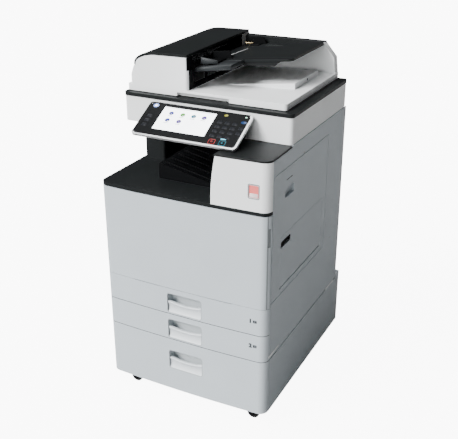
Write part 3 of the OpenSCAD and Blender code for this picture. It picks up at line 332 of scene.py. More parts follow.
def rounded_rect(width, height, radius, steps=5):
    """Points of a rounded rectangle about the origin, counter-clockwise."""
    points = []
    for cx, cy, start in ((1, 1, 0), (-1, 1, 90), (-1, -1, 180), (1, -1, 270)):
        for k in range(steps + 1):
            a = math.radians(start + 90 * k / steps)
            points.append((cx * (width / 2 - radius) + radius * math.cos(a),
                           cy * (height / 2 - radius) + radius * math.sin(a)))
    return points


def soften(node, finish, width=None, segments=2, angle=40, merge=True):
    """A rounded copy of a CAD node that stands for it; a slotted sheet keeps its faces unmerged."""
    obj = add_object(node + "_skin", frame["nodes"][node].data.copy())
    form = bmesh.new()
    form.from_mesh(obj.data)
    bmesh.ops.remove_doubles(form, verts=form.verts, dist=0.00001)
    if merge:
        bmesh.ops.dissolve_limit(form, angle_limit=math.radians(0.4), verts=form.verts,
                                 edges=form.edges, delimit=set())
    form.to_mesh(obj.data)
    form.free()
    round_edges(obj, width or sizes().edge_round, segments, angle)
    smooth(obj, 38)
    obj.modifiers.new("weigh", "WEIGHTED_NORMAL").keep_sharp = True
    apply_modifiers(obj)
    finish_of(obj, finish)
    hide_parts(node)
    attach(obj, body_of_node(node))
    return obj


def paint(obj, finish, chosen):
    """Gives faces a second finish, where chosen(centre in millimetres, normal) is true."""
    slot = len(obj.data.materials)
    obj.data.materials.append(MATERIALS[finish])
    for face in obj.data.polygons:
        place = Vector((face.center.x, face.center.y - CHORD, face.center.z - UNDERSIDE)) / MM
        if chosen(place, face.normal):
            face.material_index = slot


def body_of_node(node):
    for body, nodes in frame["record"]["behaviour"]["bodies"].items():
        if node in nodes:
            return body
    raise ValueError("no body holds " + node)


def own(obj, body, finish=None):
    """Finishes a new piece: its material and body."""
    if finish:
        finish_of(obj, finish)
    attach(obj, body)
    return obj


# ---------------------------------------------------------------- places

BOW = 8 * MM
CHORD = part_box("front_cover")[0].y + BOW
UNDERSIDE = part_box("cabinet_shell")[0].z
HALF_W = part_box("cabinet_shell")[1].x
PANEL_TILT = math.radians(28)
PANEL_MIDDLE = (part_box("panel_glass")[0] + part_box("panel_glass")[1]) / 2
# How bright the floor and the surroundings look to the camera alone
STUDIO_WHITE = 9.0

# Millimetres from here on
BASE_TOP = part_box("adf_housing")[0].z / MM - UNDERSIDE / MM
BOW_RADIUS = (HALF_W / MM) * (HALF_W / MM) / (2 * BOW / MM) + BOW / MM / 2
HANDLE_X = 7.5
HANDLE_Z = {1: 336, 2: 240, 3: 120}
HANDLE_OPENING = (126.6, 72.6, 9.3)
HANDLE_LIP = 6
HANDLE_SAG = 7
# Depth and share of the height of a handle's hollow face, from its foot to just under the lip
HANDLE_SCOOP = ((-7.0, 0.0), (-5.6, 0.06), (-3.4, 0.16), (-1.8, 0.28), (-1.1, 0.42), (-1.3, 0.56),
                (-2.4, 0.70), (-4.0, 0.80))
# Depth and drop below the top of its rounded lip
HANDLE_EDGE = ((-5.4, 5), (-5.9, 3.4), (-5.5, 1.6), (-4.2, 0.4), (-2.6, 0), (0.6, 0.3), (1.4, 1.6))
# Offset and height of the drawers' numbers, from the right edge and over the cabinet's foot
MARKS = (("1", -54, 344.5), ("2", -53, 255.5))
MARK_STEP = 15
# The document tray: where its slope changes, its first height over the base, and its two rises
TRAY_KNEE = 83
TRAY_START = 72
TRAY_LEAD = 8
TRAY_RISE = 22
GUIDE_LIFT = 0.5
GUIDE_FOOT = 36
WEDGE_FOOT = ((0, 6, -0.4), (74, 0, -0.4), (74, 52, -0.4), (0, 46, -0.4))
WEDGE_TOP = ((9, 12, 5.5), (70, 4, 0.6), (70, 48, 0.6), (9, 40, 5.5))


def at(x, y, z):
    """A place in metres from millimetres: x from the middle, y behind the front's chord and z over
    the cabinet's foot.
    """
    return Vector((x * MM, CHORD + y * MM, UNDERSIDE + z * MM))


def front_y(x):
    """Depth behind the front's chord, in millimetres, of the bowed front at x."""
    return BOW_RADIUS - BOW / MM - math.sqrt(BOW_RADIUS * BOW_RADIUS - x * x)


def front_matrix(x, z):
    """Places a drawing in its XY plane on the bowed front, facing the user."""
    turn = Matrix.Rotation(math.asin(x / BOW_RADIUS), 4, "Z")
    return Matrix.Translation(at(x, front_y(x), z)) @ turn @ Matrix.Rotation(math.pi / 2, 4, "X")


def side_matrix(y, z):
    """Places a drawing in its XY plane on the right side, facing +X."""
    turn = Matrix.Rotation(math.pi / 2, 4, "Z") @ Matrix.Rotation(math.pi / 2, 4, "X")
    return Matrix.Translation(Vector((HALF_W, 0, 0)) + at(0, y, z)) @ turn


def upright(y):
    """Places a drawing in its XY plane upright across the machine, its depth towards the user."""
    return Matrix.Translation(at(0, y, BASE_TOP)) @ Matrix.Rotation(math.pi / 2, 4, "X")


def panel_matrix():
    """Places a drawing in its XY plane on the panel's face."""
    lift = Vector((0, -math.sin(PANEL_TILT), math.cos(PANEL_TILT))) * MM
    return Matrix.Translation(PANEL_MIDDLE + lift) @ Matrix.Rotation(PANEL_TILT, 4, "X")


# ---------------------------------------------------------------- repeats

TREES = {}


def repeat_tree(form):
    """A node tree that sets one small form on every point, with its three sizes as inputs."""
    if form in TREES:
        return TREES[form]
    tree = bpy.data.node_groups.new("repeat_" + form, "GeometryNodeTree")
    sockets = {}
    tree.interface.new_socket("Geometry", in_out="INPUT", socket_type="NodeSocketGeometry")
    for label in ("Width", "Height", "Depth"):
        sockets[label] = tree.interface.new_socket(label, in_out="INPUT",
                                                   socket_type="NodeSocketFloat").identifier
    sockets["Finish"] = tree.interface.new_socket("Finish", in_out="INPUT",
                                                  socket_type="NodeSocketMaterial").identifier
    tree.interface.new_socket("Geometry", in_out="OUTPUT", socket_type="NodeSocketGeometry")
    nodes, links = tree.nodes, tree.links
    inputs, outputs = nodes.new("NodeGroupInput"), nodes.new("NodeGroupOutput")
    if form == "block":
        shape = nodes.new("GeometryNodeMeshCube")
    else:
        shape = nodes.new("GeometryNodeMeshCylinder")
        shape.inputs["Vertices"].default_value = 28
        shape.inputs["Radius"].default_value = 0.5
        shape.inputs["Depth"].default_value = 1.0
    size = nodes.new("ShaderNodeCombineXYZ")
    for label, axis in zip(("Width", "Height", "Depth"), "XYZ"):
        links.new(inputs.outputs[label], size.inputs[axis])
    turn = nodes.new("GeometryNodeInputNamedAttribute")
    turn.data_type = "FLOAT"
    turn.inputs["Name"].default_value = "turn"
    angle = nodes.new("ShaderNodeCombineXYZ")
    links.new(turn.outputs["Attribute"], angle.inputs["Z"])
    place = nodes.new("GeometryNodeInstanceOnPoints")
    links.new(inputs.outputs["Geometry"], place.inputs["Points"])
    links.new(shape.outputs["Mesh"], place.inputs["Instance"])
    links.new(angle.outputs["Vector"], place.inputs["Rotation"])
    links.new(size.outputs["Vector"], place.inputs["Scale"])
    real = nodes.new("GeometryNodeRealizeInstances")
    coat = nodes.new("GeometryNodeSetMaterial")
    links.new(place.outputs["Instances"], real.inputs["Geometry"])
    links.new(real.outputs["Geometry"], coat.inputs["Geometry"])
    links.new(inputs.outputs["Finish"], coat.inputs["Material"])
    links.new(coat.outputs["Geometry"], outputs.inputs["Geometry"])
    TREES[form] = (tree, sockets)
    return TREES[form]


def repeat(name, points, form, size, finish, matrix=Matrix.Identity(4), rounding=0.0, turns=None):
    """Sets a form on every point, in millimetres, and places the whole with a matrix."""
    mesh = bpy.data.meshes.new(name)
    mesh.from_pydata([Vector(p) * MM for p in points], [], [])
    obj = add_object(name, mesh)
    if turns:
        values = mesh.attributes.new("turn", "FLOAT", "POINT")
        for k, value in enumerate(turns):
            values.data[k].value = value
    tree, sockets = repeat_tree(form)
    modifier = obj.modifiers.new("repeat", "NODES")
    modifier.node_group = tree
    for label, value in zip(("Width", "Height", "Depth"), size):
        modifier[sockets[label]] = value * MM
    modifier[sockets["Finish"]] = MATERIALS[finish]
    bpy.context.view_layer.update()
    apply_modifiers(obj)
    obj.data.transform(matrix)
    if rounding:
        round_edges(obj, rounding * MM)
    smooth(obj)
    finish_of(obj, finish)
    return obj


def ring(name, width, height, radius, band, depth, matrix, finish, steps=6):
    """A flat rounded frame: a rounded rectangle with its middle left open."""
    form = bmesh.new()
    outer = rounded_rect(width, height, radius, steps)
    inner = rounded_rect(width - 2 * band, height - 2 * band, max(radius - band, 0.2 * MM), steps)
    loops = [[form.verts.new((x, y, z)) for x, y in loop]
             for loop, z in ((outer, 0), (outer, depth), (inner, depth), (inner, 0))]
    count = len(outer)
    for k in range(4):
        low, high = loops[k], loops[(k + 1) % 4]
        for j in range(count):
            n = (j + 1) % count
            form.faces.new((low[j], low[n], high[n], high[j]))
    bmesh.ops.transform(form, matrix=matrix, verts=form.verts)
    bmesh.ops.recalc_face_normals(form, faces=form.faces)
    obj = from_bmesh(name, form)
    round_edges(obj, min(depth, band) * 0.3)
    smooth(obj)
    finish_of(obj, finish)
    return obj


def frustum(lower, upper, matrix=Matrix.Identity(4)):
    """A bmesh solid between two rings of points, in metres, then placed by a matrix."""
    form = bmesh.new()
    lower = [form.verts.new(point) for point in lower]
    upper = [form.verts.new(point) for point in upper]
    form.faces.new(list(reversed(lower)))
    form.faces.new(upper)
    for k in range(len(lower)):
        n = (k + 1) % len(lower)
        form.faces.new((lower[k], lower[n], upper[n], upper[k]))
    bmesh.ops.transform(form, matrix=matrix, verts=form.verts)
    return form


def chip(name, points, depth, matrix, finish, rounding=0.1):
    """A thin flat piece cut to an outline in millimetres."""
    low, high = ([(x * MM, y * MM, z * MM) for x, y in points] for z in (0, depth))
    form = frustum(low, high, matrix)
    bmesh.ops.recalc_face_normals(form, faces=form.faces)
    obj = from_bmesh(name, form)
    if rounding:
        round_edges(obj, rounding * MM)
    smooth(obj)
    finish_of(obj, finish)
    return obj


def moved(points, x, y):
    return [(px + x, py + y) for px, py in points]


def drawing(x, y, z=0.0):
    """Moves a drawing within its own plane."""
    return Matrix.Translation(Vector((x, y, z)) * MM)


def numeral(name, text, height, matrix, finish, depth=0.15):
    """A printed number, made a mesh before it is placed."""
    curve = bpy.data.curves.new(name + "_outline", "FONT")
    curve.body = text
    curve.size = height * 1.4 * MM
    curve.extrude = depth * MM / 2
    curve.offset = height * 0.09 * MM
    curve.align_x, curve.align_y = "CENTER", "CENTER"
    holder = add_object(name + "_outline", curve)
    bpy.context.view_layer.update()
    graph = bpy.context.evaluated_depsgraph_get()
    mesh = bpy.data.meshes.new_from_object(holder.evaluated_get(graph))
    bpy.data.objects.remove(holder)
    bpy.data.curves.remove(curve)
    mesh.transform(matrix)
    obj = add_object(name, mesh)
    finish_of(obj, finish)
    return obj


# ---------------------------------------------------------------- groups of pieces

def shells():
    """Covers of the main unit and the cabinet."""
    for node in ("cabinet_shell", "right_cover", "right_door"):
        soften(node, "cool_shell")
    for node in ("left_cover", "rear_cover"):
        soften(node, "cool_shell", 0.5 * MM, 2, 40, False)
    bypass = soften("bypass_tray", "cool_shell")
    inside = HALF_W / MM - 2.5
    # Painted shade: the grip recess in the bypass tray gets the black finish.
    paint(bypass, "black_plastic", lambda p, n: p.x < inside and 90 < p.y < 170 and 562 < p.z < 590)
    front = soften("front_cover", "cool_shell")
    side = HALF_W / MM - 12
    # Painted shade: the finger recesses at the front cover's corners get the darker grey finish.
    paint(front, "grey_plastic", lambda p, n: abs(p.x) > side and 598.5 < p.z < 661.5
          and (abs(n.z) > 0.6 or (n.y < -0.2 and abs(p.x) < side + 9)))
    soften("cover_screws", "screw_steel", 0.4 * MM)
    soften("power_inlet", "black_plastic", 0.6 * MM)
    screw_crosses()
    own(repeat("door_slot", [(146, 775, -0.24)], "block", (46, 3.2, 0.5), "seam_shadow",
               side_matrix(0, 0), 0.2), "door")
    own(repeat("grip_strips", [(60, 212, -0.29), (574, 200, -0.29)], "block", (80, 7, 0.6),
               "bright_shell", side_matrix(0, 0), 0.2), "chassis")
    low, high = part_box("power_inlet")
    middle = (low + high) / 2
    pins = [((middle.x / MM) + dx, high.y / MM - 9, middle.z / MM) for dx in (-7, 7)]
    own(repeat("inlet_pins", pins, "block", (3.2, 14, 1.6), "screw_steel", rounding=0.3),
        "chassis")


def screw_crosses():
    """Cross recesses in the heads of the cover screws."""
    form = bmesh.new()
    form.from_mesh(frame["nodes"]["cover_screws"].data)
    bmesh.ops.remove_doubles(form, verts=form.verts, dist=0.00001)
    rear, side, seen = [], [], set()
    for seed in form.verts:
        if seed in seen:
            continue
        group, stack = [], [seed]
        seen.add(seed)
        while stack:
            vert = stack.pop()
            group.append(vert.co)
            for edge in vert.link_edges:
                other = edge.other_vert(vert)
                if other not in seen:
                    seen.add(other)
                    stack.append(other)
        low = Vector([min(c[k] for c in group) for k in range(3)]) / MM
        high = Vector([max(c[k] for c in group) for k in range(3)]) / MM
        middle = (low + high) / 2
        if high.y - low.y < high.x - low.x + 1 and abs(high.y - low.y - (high.z - low.z)) < 0.5:
            side.append((high.x, middle.y, middle.z))
        else:
            rear.append((middle.x, high.y, middle.z))
    form.free()
    for name, places, flat in (("rear_crosses", rear, (4.4, 0.3, 1.0)),
                               ("side_crosses", side, (0.3, 4.4, 1.0))):
        tall = (1.0, flat[1], 4.4) if flat[0] > 1 else (flat[0], 1.0, 4.4)
        first = repeat(name, places, "block", flat, "seam_shadow")
        second = repeat(name + "_upright", places, "block", tall, "seam_shadow")
        own(first, "chassis")
        own(second, "chassis")


def handle(number, z):
    """Rim round a drawer's handle and the scoop, painted lighter than the front as if lit, whose
    rounded, sagging edge is the grip.
    """
    body = "drawer_%d" % number
    width, height, corner = (size * MM for size in HANDLE_OPENING)
    own(ring("handle_rim_%d" % number, width, height, corner, 2.2 * MM, 1.4 * MM,
             front_matrix(HANDLE_X, z) @ drawing(0, 0, -1.45), "rim_line"), body)
    half, low, columns = 60.0, -34.0, 28
    form = bmesh.new()
    rows = []
    for k in range(columns + 1):
        x = half * (2 * k / columns - 1)
        top = HANDLE_LIP - HANDLE_SAG * (1 - (x / half) ** 2)
        rise = top - low
        section = [(y, low + rise * share) for y, share in HANDLE_SCOOP]
        section += [(y, top - drop) for y, drop in HANDLE_EDGE]
        section.append((HANDLE_EDGE[-1][0], low))
        rows.append([form.verts.new(at(HANDLE_X + x, y, z + up)) for y, up in section])
    form.faces.new(rows[0])
    form.faces.new(list(reversed(rows[-1])))
    for left, right in zip(rows, rows[1:]):
        for j in range(len(left)):
            n = (j + 1) % len(left)
            form.faces.new((left[j], right[j], right[n], left[n]))
    bmesh.ops.recalc_face_normals(form, faces=form.faces)
    scoop = from_bmesh("handle_scoop_%d" % number, form)
    smooth(scoop, 50)
    # The scoop's lighter finish is painted light.
    own(scoop, body, "handle_painted_light")


def drawers():
    """Drawer fronts with their handles, and the drawer numbers."""
    for number, z in HANDLE_Z.items():
        node = "tray_%d" % number
        skin = soften(node, "cool_shell")
        low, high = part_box(node)
        top = (high.z - UNDERSIDE) / MM
        bottom = (low.z - UNDERSIDE) / MM
        paint(skin, "grey_plastic", lambda p, n: p.y > 30)
        # Painted light: the handle's pocket gets a finish lighter than the front, standing in for
        # light that reaches into it.
        paint(skin, "pocket_light_and_ticks", lambda p, n: -6 < p.y < 30 and abs(p.x - HANDLE_X) < 66
              and abs(p.z - z) < 40)
        if number > 1:
            paint(skin, "seam_shadow", lambda p, n: n.z > 0.5 and p.z > top - 3 and p.y < 40)
        if number < 3:
            paint(skin, "seam_shadow", lambda p, n: n.z < -0.8 and p.z < bottom + 2 and p.y < 40)
        handle(number, z)
    for text, inset, z in MARKS:
        body = "drawer_" + text
        left = HALF_W / MM + inset
        own(numeral("mark_" + text, text, sizes().mark_size / MM,
                    front_matrix(left, z) @ drawing(0, 0, 0.08), "mark_print"), body)
        own(chip("sheet_icon_" + text, rounded_rect(12.5, 9.6, 1.6), 0.14,
                 front_matrix(left + MARK_STEP, z) @ drawing(0, 0, 0.04), "mark_print", 0.0),
            body)
        own(repeat("sheet_lines_" + text, [(0, 1.9, 0.16), (0, -1.9, 0.16)], "block",
                   (7, 0.8, 0.1), "cool_shell", front_matrix(left + MARK_STEP, z)),
            body)


def exit_bay():
    """Deck, exit tray, side box and the front module."""
    soften("top_deck", "dark_shell", 1.8 * MM)
    soften("exit_tray", "black_plastic", 0.8 * MM)
    soften("rear_column", "dark_shell", 1.2 * MM)
    soften("module_cover", "bright_shell", 1.6 * MM)
    soften("module_shelf", "dark_shell", 1.8 * MM, 3)
    soften("power_switch", "switch_red", 1.2 * MM, 3)
    low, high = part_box("power_switch")
    x = (low.x + high.x) / 2 / MM
    z = (low.z + high.z) / 2 / MM - UNDERSIDE / MM
    width, height = (high.x - low.x) / MM, (high.z - low.z) / MM
    face = front_matrix(x, z)
    own(ring("switch_frame", (width + 8) * MM, (height + 9) * MM, 5 * MM, 3.2 * MM, 1.0 * MM,
             face @ drawing(0, 0, -0.6), "grey_plastic"), "chassis")
    flap = moved(rounded_rect(width - 3, height * 0.3, 1.5), 0, -height * 0.31)
    own(chip("switch_foot", flap, 0.8, face @ drawing(0, 0, -1.0), "switch_pale", 0.3),
        "switch")


def scanner():
    """Scanner housing, its dark rim, the glass and the size scale beside it."""
    soften("scanner_housing", "bright_shell", 1.8 * MM, 3)
    soften("scanner_rim", "dark_shell", 1.6 * MM, 3)
    soften("exposure_glass", "float_glass", 0.5 * MM)
    soften("panel_arm", "black_plastic", 1.2 * MM)
    low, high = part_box("exposure_glass")
    top = high.z / MM
    ticks = [(x, high.y / MM + 4, top) for x in range(int(low.x / MM) + 6, int(high.x / MM) - 4, 10)]
    own(repeat("length_scale", ticks, "block", (0.7, 5, 0.24), "pocket_light_and_ticks"),
        "chassis")
    ticks = [(low.x / MM - 4, y, top) for y in range(int(low.y / MM) + 6, int(high.y / MM) - 4, 10)]
    own(repeat("width_scale", ticks, "block", (5, 0.7, 0.24), "pocket_light_and_ticks"),
        "chassis")


def tray_surface(x):
    """Height of the document tray's top at x, over the cabinet's foot."""
    low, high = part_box("document_tray")
    left, right = low.x / MM, high.x / MM
    knee = left + TRAY_KNEE
    if x < knee:
        return BASE_TOP + TRAY_START + TRAY_LEAD * (x - left) / (knee - left)
    return BASE_TOP + TRAY_START + TRAY_LEAD + TRAY_RISE * (x - knee) / (right - knee)


def feeder():
    """Document cover with its feeder, tray and guides."""
    soften("adf_base", "bright_shell", 1.8 * MM, 3)
    housing = soften("adf_housing", "bright_shell", 1.8 * MM, 3)
    tray_low, tray_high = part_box("document_tray")
    left, right = tray_low.x / MM, tray_high.x / MM
    low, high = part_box("adf_housing")
    front_edge, rear_edge = (low.y - CHORD) / MM, (high.y - CHORD) / MM
    # Painted shade: faces of the housing in the well, the mouth and the wing's end under the top cover
    # get the black finish where they lie in shadow.
    paint(housing, "black_plastic", lambda p, n: p.z > BASE_TOP + 9 and (
        # the well under the top cover
        (low.x / MM + 30 < p.x < left - 3 and front_edge + 22 < p.y < rear_edge - 33)
        # the post of the tray's pin and the mouth's face
        or (p.x > left - 14 and front_edge + 12 < p.y < rear_edge - 33 and p.z > BASE_TOP + 11)
        # the wing's end under the top cover
        or (left - 22 < p.x < left - 2 and p.y > rear_edge - 35 and n.x < -0.5)))
    soften("platen_pad", "pad_vinyl", 1.5 * MM)
    soften("adf_hinges", "sheet_steel", 0.8 * MM)
    soften("adf_top_cover", "dark_shell", 1.6 * MM, 3)
    soften("document_tray", "dark_shell", 1.6 * MM, 3)
    soften("front_guide", "black_plastic", 1.0 * MM)
    soften("rear_guide", "black_plastic", 1.0 * MM)

    # Dark cap along the rear wing, with a thin dark sheet down to the tray that is painted shade on
    # the wing's face above it
    wing = [(left - 17, 0), (right - 18, 0), (right - 6, 12), (right - 6, 29.6), (left - 17, 29.6)]
    cap = chip("wing_cap", wing, 3, Matrix.Translation(at(0, rear_edge - 30, BASE_TOP + 98)),
               "dark_shell", 1.0)
    own(cap, "document_cover")
    apron = [(left - 16, 12), (left + 96, 12), (left + 130, 60), (left + 150, 78), (right - 16, 95),
             (right - 16, 100), (left - 16, 100)]
    own(chip("wing_apron", apron, 0.5, upright(rear_edge - 30), "dark_shell", 0.0),
        "document_cover")

    # Low front part of the tray, in front of the guide, with the guide's outer fence on it
    near_edge = (tray_low.y - CHORD) / MM
    knee, end = left + TRAY_KNEE, left + 124
    plate = [(left, 52), (end, 70), (end, 84.4), (knee, 79.8), (left, 64)]
    for name, y, depth, points in (("tray_front", near_edge - 12, 71, plate),
                                   ("tray_front_root", near_edge + 5, 18,
                                    [(left + 20, 56), *plate[1:4], (left + 20, 68)])):
        own(chip(name, points, depth, upright(y), "guide_plastic", 1.2), "original_tray")
    fence = [(left + 10, 73.8), (left + 72, 80.0), (left + 68, 90), (left + 12, 95)]
    own(chip("front_fence", fence, 3, upright(near_edge - 63), "guide_plastic", 0.8),
        "guide_front")
    bridge = [(left + 18, 74.8), (left + 60, 79.0), (left + 60, 81), (left + 18, 76.8)]
    own(chip("front_fence_bridge", bridge, 79, upright(near_edge + 15), "black_plastic", 0.5),
        "guide_front")

    # Feet of the guides, lying on the tray
    front = (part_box("front_guide")[0].y - CHORD) / MM
    rear = (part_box("rear_guide")[1].y - CHORD) / MM
    for name, y, body in (("front_guide_foot", front + 22, "guide_front"),
                          ("rear_guide_foot", rear - 22, "guide_rear")):
        low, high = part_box(name.removesuffix("_foot"))
        a, b, c, d = [at(x, y + dy, tray_surface(x) + GUIDE_LIFT)
                      for x in (low.x / MM + 4, high.x / MM - 12)
                      for dy in (-GUIDE_FOOT / 2, GUIDE_FOOT / 2)]
        sole = (a, c, d, b)
        foot = from_bmesh(name, frustum(sole, [p + Vector((0, 0, 2.2 * MM)) for p in sole]))
        round_edges(foot, 0.8 * MM)
        smooth(foot)
        own(foot, body, "black_plastic")

    # Raised wedge, pale line and small lever on the tray
    slope = math.atan2(TRAY_RISE, right - left - TRAY_KNEE)
    x0 = left + TRAY_KNEE + 8
    tilt = (Matrix.Translation(at(x0, rear_edge - 96, tray_surface(x0)))
            @ Matrix.Rotation(-slope, 4, "Y"))
    foot, top = ([Vector(p) * MM for p in outline] for outline in (WEDGE_FOOT, WEDGE_TOP))
    raised = from_bmesh("tray_wedge", frustum(foot, top, tilt))
    round_edges(raised, 1.5 * MM, 3)
    smooth(raised)
    own(raised, "original_tray", "dark_shell")
    line = [(0, 0), (2.2, 0), (17, 168), (14.8, 168)]
    x1 = left + 34
    start = at(x1, rear_edge - 300, tray_surface(x1) - 0.5)
    place = Matrix.Translation(start) @ Matrix.Rotation(-math.atan2(TRAY_LEAD, TRAY_KNEE), 4, "Y")
    own(chip("tray_line", line, 0.7, place, "bright_shell", 0.2), "original_tray")
    lever = [(0, 0), (30, 4), (30, 9), (0, 7)]
    own(chip("size_lever", lever, 4, Matrix.Translation(at(left + 2, rear_edge - 62,
                                                         tray_surface(left + 30) + 2)),
             "gold_tab", 0.6), "original_tray")

    # Sensor eye in the right face of the raised stop
    eye = side_matrix(450, BASE_TOP + 9) @ Matrix.Translation(Vector((0, 0, right * MM - MM - HALF_W)))
    own(repeat("stop_eye", [(0, 0, 0)], "disc", (8, 6, 0.6), "seam_shadow", eye, 0.15),
        "document_cover")


def face_of_panel():
    """Operation panel: silver rim, black face, lit screen with its icons, and the keys."""
    rim = soften("panel_body", "silver_bezel", 2.2 * MM, 3)
    place = panel_matrix()
    back = place.inverted()
    half_w = (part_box("panel_body")[1].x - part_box("panel_body")[0].x) / 2
    rim.data.materials.append(MATERIALS["panel_black"])
    for face in rim.data.polygons:
        spot, way = back @ face.center, back.to_3x3() @ face.normal
        if spot.z < -7.9 * MM or way.y > 0.35 or way.x < -0.35:
            face.material_index = 1
    # The black face runs out to the upper and left edges
    tall = 2 * (back @ max((v.co for v in rim.data.vertices), key=lambda c: (back @ c).y)).y / MM
    wide = 2 * half_w / MM
    left, right, foot, top = -wide / 2, wide / 2, -tall / 2, tall / 2
    band, rim_gap = 7, 0.6
    edge = [(left + rim_gap, foot + 10), (left + band, foot + 10), (left + band, top - band),
            (right - 10, top - band), (right - 10, top - rim_gap), (left + 9, top - rim_gap),
            (left + 3.2, top - 3.2), (left + rim_gap, top - 9)]
    lift = max((back @ v.co).z for v in rim.data.vertices) / MM
    own(chip("bezel_edge", edge, 0.35, place @ drawing(0, 0, lift - 0.2), "panel_black", 0.0),
        "panel")
    soften("panel_glass", "panel_black", 0.5 * MM)
    soften("panel_screen", "screen_white", 0.1 * MM)
    soften("stop_key", "panel_black", 0.8 * MM, 3)
    soften("start_key", "panel_black", 0.8 * MM, 3)
    icons = {"icon_blue": [(-85, 33)], "icon_green": [(-45, 33)], "icon_teal": [(-7, 33)],
             "icon_violet": [(29, 33), (-45, 3.5)], "icon_indigo": [(-85, 3.5)]}
    finishes = {"icon_indigo": "icon_blue"}
    for name, spots in icons.items():
        own(repeat(name, [(x, y, 0.02) for x, y in spots], "disc", (16, 15, 0.3),
                   finishes.get(name, name), place), "panel")
    every = [spot for spots in icons.values() for spot in spots]
    own(repeat("icon_glints", [(x + 1.8, y - 2.6, 0.06) for x, y in every], "disc", (3.2, 2.6, 0.34),
               "icon_shine", place), "panel")
    own(repeat("icon_captions", [(x, y - 11.5, 0.0) for x, y in every], "block", (15, 1.5, 0.26),
               "caption_grey", place), "panel")
    own(repeat("screen_status", [(-30, 54.2, 0.0)], "block", (170, 0.8, 0.22), "caption_grey", place),
        "panel")

    pads = [(-152, y) for y in (11, -8, -28)]
    pads += [(x, y) for x in (85, 110, 135) for y in (27, 8, -11, -30)]
    pads += [(161, y) for y in (13, -8)]
    key = sizes().key_size / MM
    keys = (("home_key", [(-151.6, 57)], 0.1, "disc", (19, 17, 0.5), "key_home", 0.15, "screen_glow"),
            ("home_centre", [(-151.6, 57)], 0.15, "disc", (8, 7, 0.6), "screen_white", 0.1,
             "screen_glow"),
            ("touch_keys", pads, 0.05, "block", (key, key * 0.72, 0.5), "dim_print", 0.2,
             "gloss_black"),
            ("reset_key", [(93, 57)], 0.1, "disc", (13, 9, 0.5), "key_amber", 0.15, "gloss_black"),
            ("saver_key", [(159, 38)], 0.1, "disc", (18, 11, 0.5), "key_blue", 0.15, "gloss_black"),
            ("power_lamp", [(158, 60)], 0.1, "disc", (7, 3.6, 0.5), "lamp_green", 0.1, "screen_glow"),
            ("start_bar", [(126, -38.5)], 0.1, "block", (17, 3, 0.5), "bar_cyan", 0.1, "screen_glow"))
    for name, spots, lift, form, size, finish, rounding, slot in keys:
        own(repeat(name, [(x, y, lift) for x, y in spots], form, size, finish, place, rounding),
            "panel")
    for name, x, finish, material_slot in (("stop_ring", 94, "key_red", "red_key"),
                                          ("start_ring", 128, "key_teal", "teal_key")):
        own(ring(name, 22 * MM, 20 * MM, 5 * MM, 1.5 * MM, 0.4 * MM, place @ drawing(x, -54, -0.05),
                 finish), "panel")
    own(ring("stop_symbol", 6 * MM, 6 * MM, 1 * MM, 1.2 * MM, 0.2 * MM, place @ drawing(94, -54, 1.15),
             "key_red"), "stop_button")
    diamond = [(0, -3.6), (3.6, 0), (0, 3.6), (-3.6, 0)]
    own(chip("start_symbol", diamond, 0.2, place @ drawing(128, -54, 1.15), "key_teal", 0.05),
        "start_button")
    sockets = [(right, y, -4) for y in (30, 10, -6)]
    own(repeat("side_sockets", sockets, "block", (0.5, 11, 2.6), "seam_shadow", place, 0.12),
        "panel")


def casters():
    """Forks, wheels and the ribs of the tread."""
    wheels = {"left_front_wheel": "left_caster_wheel", "right_front_wheel": "right_caster_wheel",
              "left_rear_wheel": "left_back_wheel", "right_rear_wheel": "right_back_wheel"}
    for node in ("left_caster_fork", "right_caster_fork", "rear_caster_forks"):
        soften(node, "black_plastic", 0.8 * MM)
    for node, body in wheels.items():
        soften(node, "tyre_rubber", 0.6 * MM)
        low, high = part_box(node)
        middle = (low + high) / 2 / MM
        radius = (high.z - low.z) / 2 / MM
        spots, turns = [], []
        for k in range(24):
            a = 2 * math.pi * k / 24
            spots.append(((radius - 0.55) * math.cos(a), (radius - 0.55) * math.sin(a), 0))
            turns.append(a)
        stand = Matrix.Translation(middle * MM) @ Matrix.Rotation(math.pi / 2, 4, "X")
        own(repeat(node + "_tread", spots, "block", (1.0, 1.6, 14), "tyre_rubber", stand, 0.15,
                   turns), body)


def engine():
    """Finishes of the frame and the engine behind the covers."""
    finishes = {"sheet_steel": ("main_frame", "drive_motor", "mirror_carriage"),
                "grey_plastic": ("fuser_housing", "developer_unit", "lamp_carriage"),
                "black_plastic": ("laser_unit", "lens_block", "fan_rotor"),
                "toner_plastic": ("toner_bottle",),
                "board_green": ("power_supply",),
                "drum_coating": ("drum",),
                "roller_rubber": ("heat_roller", "pressure_roller", "adf_feed_roller",
                                  "feed_roller_1", "feed_roller_2", "feed_roller_3")}
    for finish, nodes in finishes.items():
        for node in nodes:
            finish_of(frame["nodes"][node], finish)


def soft_sun(name, source, strength, spread):
    """A far, wide light from a direction; its spread, in degrees, softens the shadows."""
    data = bpy.data.lights.new(name, "SUN")
    data.energy = strength
    data.angle = math.radians(spread)
    lamp = add_object(name, data)
    lamp.location = Vector(source) * 4
    lamp.rotation_euler = Vector(source).to_track_quat("Z", "Y").to_euler()


